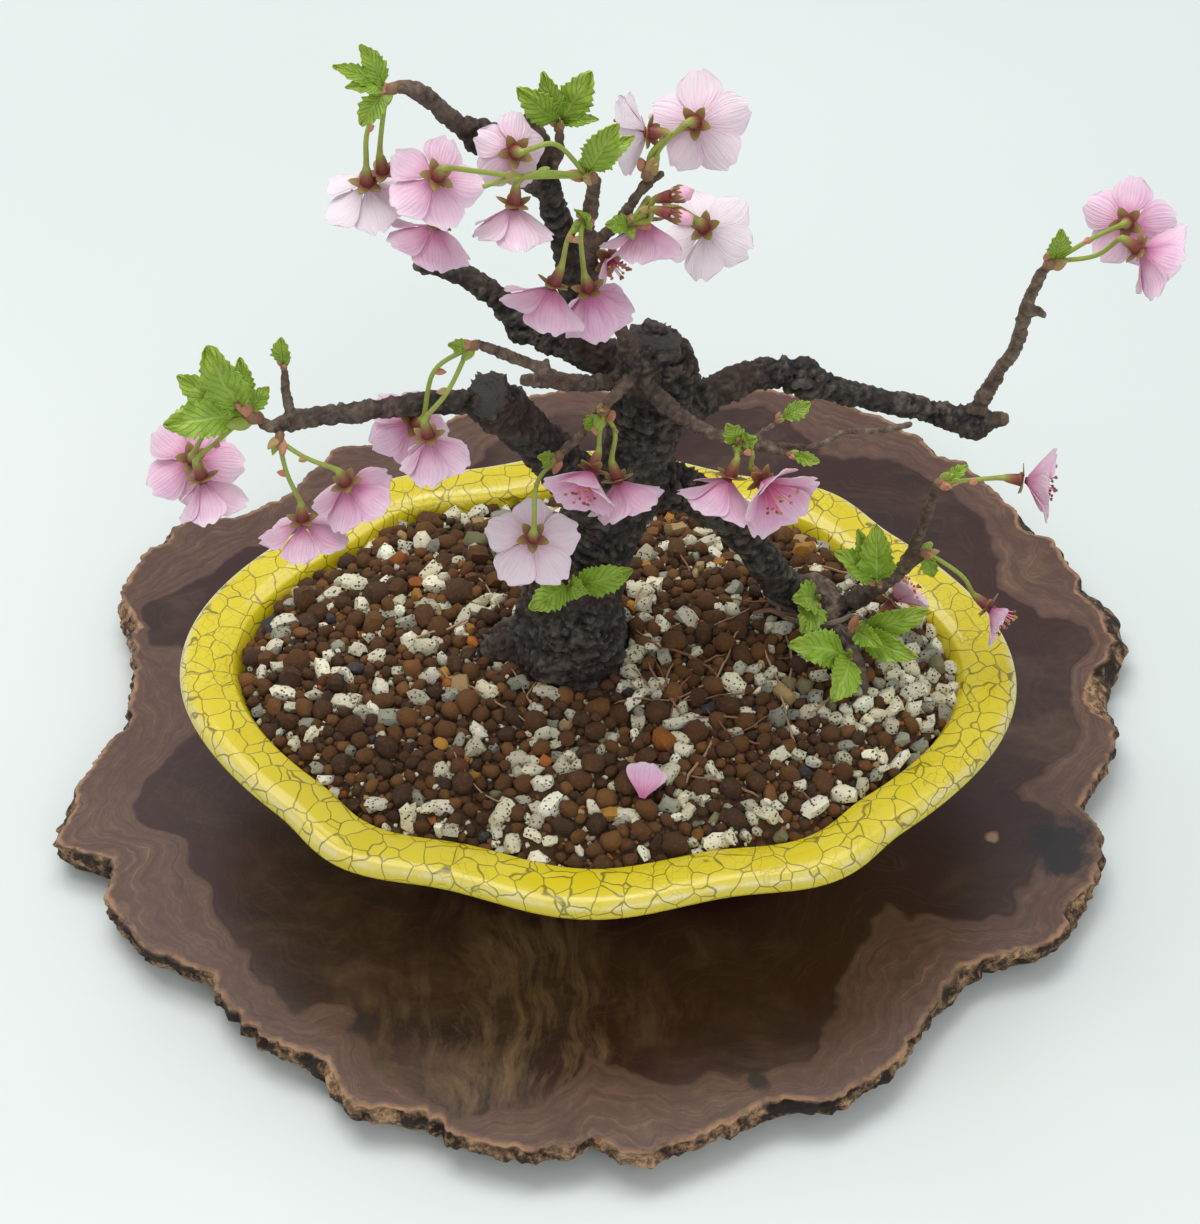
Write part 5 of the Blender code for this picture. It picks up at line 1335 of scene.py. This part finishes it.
class BONSAI_OT_blossoms(bpy.types.Operator):
    """Model each bloom: its petals, and the stamens in its middle"""

    bl_idname = "bonsai.blossoms"
    bl_label = "Blossoms"

    def execute(self, context):
        settings = context.scene.bonsai
        blank = sheet_blank(9, 11)
        petal_skin = {"thickness": PETAL_THICKNESS * MM, "offset": 0.0}
        petals_look = petal_finish(settings)
        growth_look = growth_finish()
        for number, (name, bloom) in enumerate(BLOOMS.items()):
            place, facing, turn, opening, length, petals = bloom
            chance = random.Random(100 + number)
            out, up, across = bloom_frame(facing, turn)
            foot = Vector(place) + out * 0.6
            sheets = []
            for k in range(petals):
                angle = math.radians(72 * k + chance.uniform(-4, 4))
                way = up * math.cos(angle) + across * math.sin(angle)
                rule = petal_place(out, way, foot, length, opening, chance)
                sheets.append(bend_sheet(blank, rule, "petal"))
            flower = join(sheets, "blossom_" + name)
            blush = BLUSH.get(name, chance.uniform(0.72, 0.92))
            paint_all(flower, "blush", blush)
            dress(flower, petals_look)
            apply_modifier(flower, "SOLIDIFY", **petal_skin)
            finish_piece(flower, ["petals_" + name], 80)

            threads = Growth()
            threads.add_ball(foot + out * 0.4, 1.5, (0.30, 0.03, 0.06))
            pink = (0.66, 0.20, 0.34) if blush > 0.4 else (0.80, 0.68, 0.62)
            for _ in range(STAMENS):
                angle = chance.uniform(0, TAU)
                spread = chance.uniform(0.06, 0.62) * (1.2 if opening > 60 else 0.8)
                way = up * math.cos(angle) + across * math.sin(angle)
                reach = chance.uniform(0.48, 0.74) * length
                path = []
                for step in range(4):
                    share = step / 3
                    lean = spread * (0.6 + 0.5 * share)
                    point = foot + (out * math.cos(lean) + way * math.sin(lean)) * reach * share + way * 0.9
                    path.append(Vector((*point, 0.17 - 0.04 * share)))
                threads.add_tube(path, 4, [tuple(c * (0.75 + 0.25 * s) for c in pink) for s in range(4)])
                anther = chance.choice([(0.46, 0.25, 0.07), (0.26, 0.10, 0.05)])
                threads.add_ball(path[-1].xyz, 0.42, anther, way, 1.4)
            stamens = threads.make("stamens_" + name)
            dress(stamens, growth_look)
            finish_piece(stamens)

        chance = random.Random(77)
        low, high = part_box("petal_fallen")
        spot = Vector(((low[0] + high[0]) / 2, (low[1] + high[1]) / 2 - 0.006, low[2] + 0.0021)) / MM
        rule = petal_place(Vector((0, 0, 1)), Vector((0.15, 1, 0)).normalized(), spot, 12, 84, chance)
        fallen = bend_sheet(blank, rule, "fallen_petal")
        paint_all(fallen, "blush", 0.9)
        dress(fallen, petals_look)
        apply_modifier(fallen, "SOLIDIFY", **petal_skin)
        finish_piece(fallen, ["petal_fallen"], 80)
        return {"FINISHED"}


def leaf_place(base, tip, width, chance):
    """Give the rule that bends a flat grid to a folded, crumpled leaf with a saw toothed edge."""
    base = Vector(base)
    along_way = Vector(tip) - base
    length = along_way.length
    along_way.normalize()
    face = (VIEW_BACK - along_way * VIEW_BACK.dot(along_way)).normalized()
    face = Matrix.Rotation(chance.uniform(-0.35, 0.35), 3, along_way) @ face
    side = along_way.cross(face)
    seed = Vector((chance.uniform(0, 90), chance.uniform(0, 90), 0))
    teeth = max(4, round(length / 1.9))

    def place(across, along):
        edge = abs(across)
        body = max(0.0, (along - 0.10) / 0.90)
        wide = 0.5 * width * 1.12 * math.sin(math.pi * min(1.0, body) ** 0.85) ** 0.75 if body > 0 else 0.0
        saw = (body * teeth) % 1.0
        wide *= 1 + 0.34 * (saw - 0.5) * edge ** 3
        shift = across * max(0.28, wide)
        reach = along * length + 0.12 * length * edge ** 2 * (1 - along) * body
        arch = 0.10 * length * math.sin(math.pi * along)
        crumple = 0.15 * width * noise.noise(seed + Vector((across * 2.2, along * 5, 0)))
        crumple += 0.05 * width * math.sin(TAU * (along * 5 - edge)) * edge
        return base + along_way * reach + side * shift + face * (arch + 0.26 * abs(shift) + crumple)

    return place


def sepal_place(tip, ray, out, drop):
    """Give the rule that bends a flat grid to a short blunt sepal; a drop of -1 closes it on a bud."""
    beside = out.cross(ray)

    def place(across, along):
        wide = 1.45 * (1 - along ** 2.6) ** 0.8
        lift = -0.9 - drop * along * 5 + 0.35 * abs(across) * (1 - along)
        reach = 3.5 * along if drop > -1 else 0.9 * math.sin(math.pi * along)
        return tip + ray * (1.1 + reach) + beside * across * wide + out * lift

    return place


def scale_place(start, end, width):
    """Give the rule that bends a flat grid to a small pointed bud scale or bract."""
    way = end - start
    side = way.cross(VIEW_BACK)
    side = side.normalized() if side.length > 1e-6 else Vector((1, 0, 0))
    face = side.cross(way).normalized()

    def place(across, along):
        bulge = math.sin(math.pi * (0.15 + 0.85 * along) ** 0.9) ** 0.8 if along < 0.999 else 0.02
        hollow = 0.35 * width * (1 - across * across) * along
        return start + way * along + side * across * 0.5 * width * bulge + face * hollow

    return place


class BONSAI_OT_sprays(bpy.types.Operator):
    """Model the buds, stalks, calyxes and young leaves that carry the blooms"""

    bl_idname = "bonsai.sprays"
    bl_label = "Sprays"

    def execute(self, context):
        leaf_blank = sheet_blank(7, 27)
        sepal_blank = sheet_blank(3, 5)
        growth_look = growth_finish()
        leaf_look = leaf_finish(context.scene.bonsai)
        for number, (name, spray) in enumerate(SPRAYS.items()):
            chance = random.Random(500 + number)
            spot, thick, way = spray["seat"]
            bud = spray["bud"]
            way = Vector(way).normalized()
            seat = Vector(spot) + way * (thick * 1.2 + 0.45 + bud)
            growth = Growth()
            growth.add_ball(seat - way * 0.5 * bud, bud * 0.85, BUD_BROWN, way, 1.5)
            scales = []
            side = way.orthogonal().normalized()
            for k in range(7 if spray["blooms"] else 4):
                angle = TAU * k / 7 * 2.4
                radial = (side * math.cos(angle) + way.cross(side) * math.sin(angle)).normalized()
                start = seat - way * bud * 0.3 + radial * bud * 0.5
                end = seat + way * bud * chance.uniform(0.9, 2.1) + radial * bud * chance.uniform(0.8, 1.6)
                scales.append((start, end, bud * 1.15))

            sepals = []
            calyxes = [(*BLOOMS[bloom][:3], via, True) for bloom, via in spray["blooms"]]
            calyxes += [(place, facing, 0, via, False) for place, facing, via in spray["spent"]]
            for place, facing, turn, via, flowering in calyxes:
                out, up, across = bloom_frame(facing, turn + 36)
                tip = Vector(place)
                ends = [(*(tip - out * 6.4), 0.72)]
                if via:
                    ends.append((*via, 0.62))
                ends.append((*seat, 0.66))
                stalk = smooth_path(ends, 1.6)
                redness = [0.35 * max(0.0, 1 - i / 4) for i in range(len(stalk))]
                tones = [blend(STALK_GREEN, CALYX_RED, share) for share in redness]
                cup = [Vector((*(tip + out * rise), radius)) for rise, radius, tone in CALYX_CUP]
                cup_tones = [tone for rise, radius, tone in CALYX_CUP]
                growth.add_tube(cup + stalk[1:], 9, cup_tones + tones[1:], up)
                closed = not flowering and name == CLOSED_SPRAY
                if closed:
                    growth.add_ball(tip + out * 2.0, 2.35, (0.80, 0.42, 0.56), out, 1.7)
                for k in range(5):
                    angle = TAU * k / 5
                    ray = up * math.cos(angle) - across * math.sin(angle)
                    sepals.append((tip, ray, out, -1.0 if closed else chance.uniform(-0.04, 0.22)))
                if chance.random() < 0.7 and via:
                    fan = Vector((chance.uniform(-1, 1), chance.uniform(-1, 0.2), chance.uniform(0, 1)))
                    scales.append((Vector(via), Vector(via) + fan.normalized() * 3.2, 1.8))
            body = growth.make("stalks_" + name)
            turn_out(body)
            dress(body, growth_look)

            sheets = []
            sepal_tone = blend(CALYX_RED, SEPAL_BROWN, 0.5)
            for sepal in sepals:
                sheet = bend_sheet(sepal_blank, sepal_place(*sepal), "sepal")
                tones = []
                for vert in sheet.data.vertices:
                    far = (vert.co / MM - sepal[0]).length / 4.6
                    tones.append((*blend(sepal_tone, SEPAL_GREEN, max(0.0, far - 0.45) * 1.3), 1.0))
                paint(sheet, "tint", tones)
                dress(sheet, growth_look)
                sheets.append(sheet)
            leaves = []
            for tip, width in spray["leaves"]:
                start = seat + (Vector(tip) - seat).normalized() * 0.3 * bud
                leaf = bend_sheet(leaf_blank, leaf_place(start, tip, width * 1.12, chance), "leaf")
                dress(leaf, leaf_look)
                leaves.append(leaf)
            for index, scale in enumerate(scales):
                sheet = bend_sheet(sepal_blank, scale_place(*scale), "scale")
                paint_all(sheet, "tint", SCALE_TONES[index % 3])
                dress(sheet, growth_look)
                sheets.append(sheet)
            thin = join(sheets + leaves, "thin")
            apply_modifier(thin, "SOLIDIFY", thickness=LEAF_THICKNESS * MM, offset=0.0)
            whole = join([body, thin], "growth_" + name)
            finish_piece(whole, [name], 60)
        return {"FINISHED"}


class BONSAI_OT_stage(bpy.types.Operator):
    """Set up the pale floor, the soft lights and the camera"""

    bl_idname = "bonsai.stage"
    bl_label = "Stage"

    def execute(self, context):
        deselect()
        bpy.ops.mesh.primitive_plane_add(size=8.0, location=(0, 0, -0.0003))
        floor = context.object
        floor.name = "floor"
        finish = Finish("pale_table", Roughness=0.42)
        shade = finish.ramp(
            finish.cloud(2.2, 2.0), (0.3, (0.685, 0.735, 0.725)), (0.7, (0.745, 0.79, 0.78)))
        dress(floor, finish.done(shade))

        world = bpy.data.worlds.new("studio")
        world.use_nodes = True
        sky = world.node_tree.nodes["Background"]
        sky.inputs["Color"].default_value = (0.955, 0.985, 1.0, 1)
        sky.inputs["Strength"].default_value = 0.58
        context.scene.world = world
        context.scene.view_settings.view_transform = "Standard"
        lights = [
            ("key", (-0.35, 0.25, 1.25), 0.8, 8.5, (1.0, 0.985, 0.96)),
            ("front", (0.45, -1.05, 0.9), 0.8, 3.4, (0.96, 0.98, 1.0)),
            ("top", (0.25, 0.5, 1.5), 0.6, 3.6, (1.0, 1.0, 1.0)),
        ]
        for name, place, size, power, colour in lights:
            bpy.ops.object.light_add(type="AREA", location=place)
            light = context.object
            light.name = name
            light.data.size = size
            light.data.energy = power
            light.data.color = colour
            light.rotation_euler = (CAMERA_AIM - Vector(place)).to_track_quat("-Z", "Y").to_euler()

        rise = math.radians(CAMERA_RISE)
        swing = math.radians(CAMERA_SWING)
        back = Vector((math.cos(rise) * math.sin(swing), -math.cos(rise) * math.cos(swing), math.sin(rise)))
        place = CAMERA_AIM + back * CAMERA_DISTANCE
        bpy.ops.object.camera_add(location=place)
        camera = context.object
        camera.rotation_euler = (CAMERA_AIM - place).to_track_quat("-Z", "Y").to_euler()
        camera.data.lens = CAMERA_LENS
        camera.data.sensor_width = 36.0
        camera.data.sensor_fit = "AUTO"
        context.scene.camera = camera
        return {"FINISHED"}


class BONSAI_PT_panel(bpy.types.Panel):
    """List the settings and the steps of the bonsai"""

    bl_label = "Bonsai"
    bl_idname = "BONSAI_PT_panel"
    bl_space_type = "VIEW_3D"
    bl_region_type = "UI"
    bl_category = "Bonsai"

    def draw(self, context):
        settings = context.scene.bonsai
        for name in BonsaiSettings.__annotations__:
            self.layout.prop(settings, name)
        for step in STEPS:
            self.layout.operator(step.bl_idname)


STEPS = [
    BONSAI_OT_slab, BONSAI_OT_pot, BONSAI_OT_soil, BONSAI_OT_wood, BONSAI_OT_blossoms,
    BONSAI_OT_sprays, BONSAI_OT_stage]


def register():
    for kind in [BonsaiSettings, *STEPS, BONSAI_PT_panel]:
        bpy.utils.register_class(kind)
    bpy.types.Scene.bonsai = PointerProperty(type=BonsaiSettings)


def unregister():
    del bpy.types.Scene.bonsai
    for kind in reversed([BonsaiSettings, *STEPS, BONSAI_PT_panel]):
        bpy.utils.unregister_class(kind)


def main():
    """Build every piece and the stage."""
    register()
    bpy.ops.bonsai.slab()
    bpy.ops.bonsai.pot()
    bpy.ops.bonsai.soil()
    bpy.ops.bonsai.wood()
    bpy.ops.bonsai.blossoms()
    bpy.ops.bonsai.sprays()
    bpy.ops.bonsai.stage()


if __name__ == "__main__":
    main()
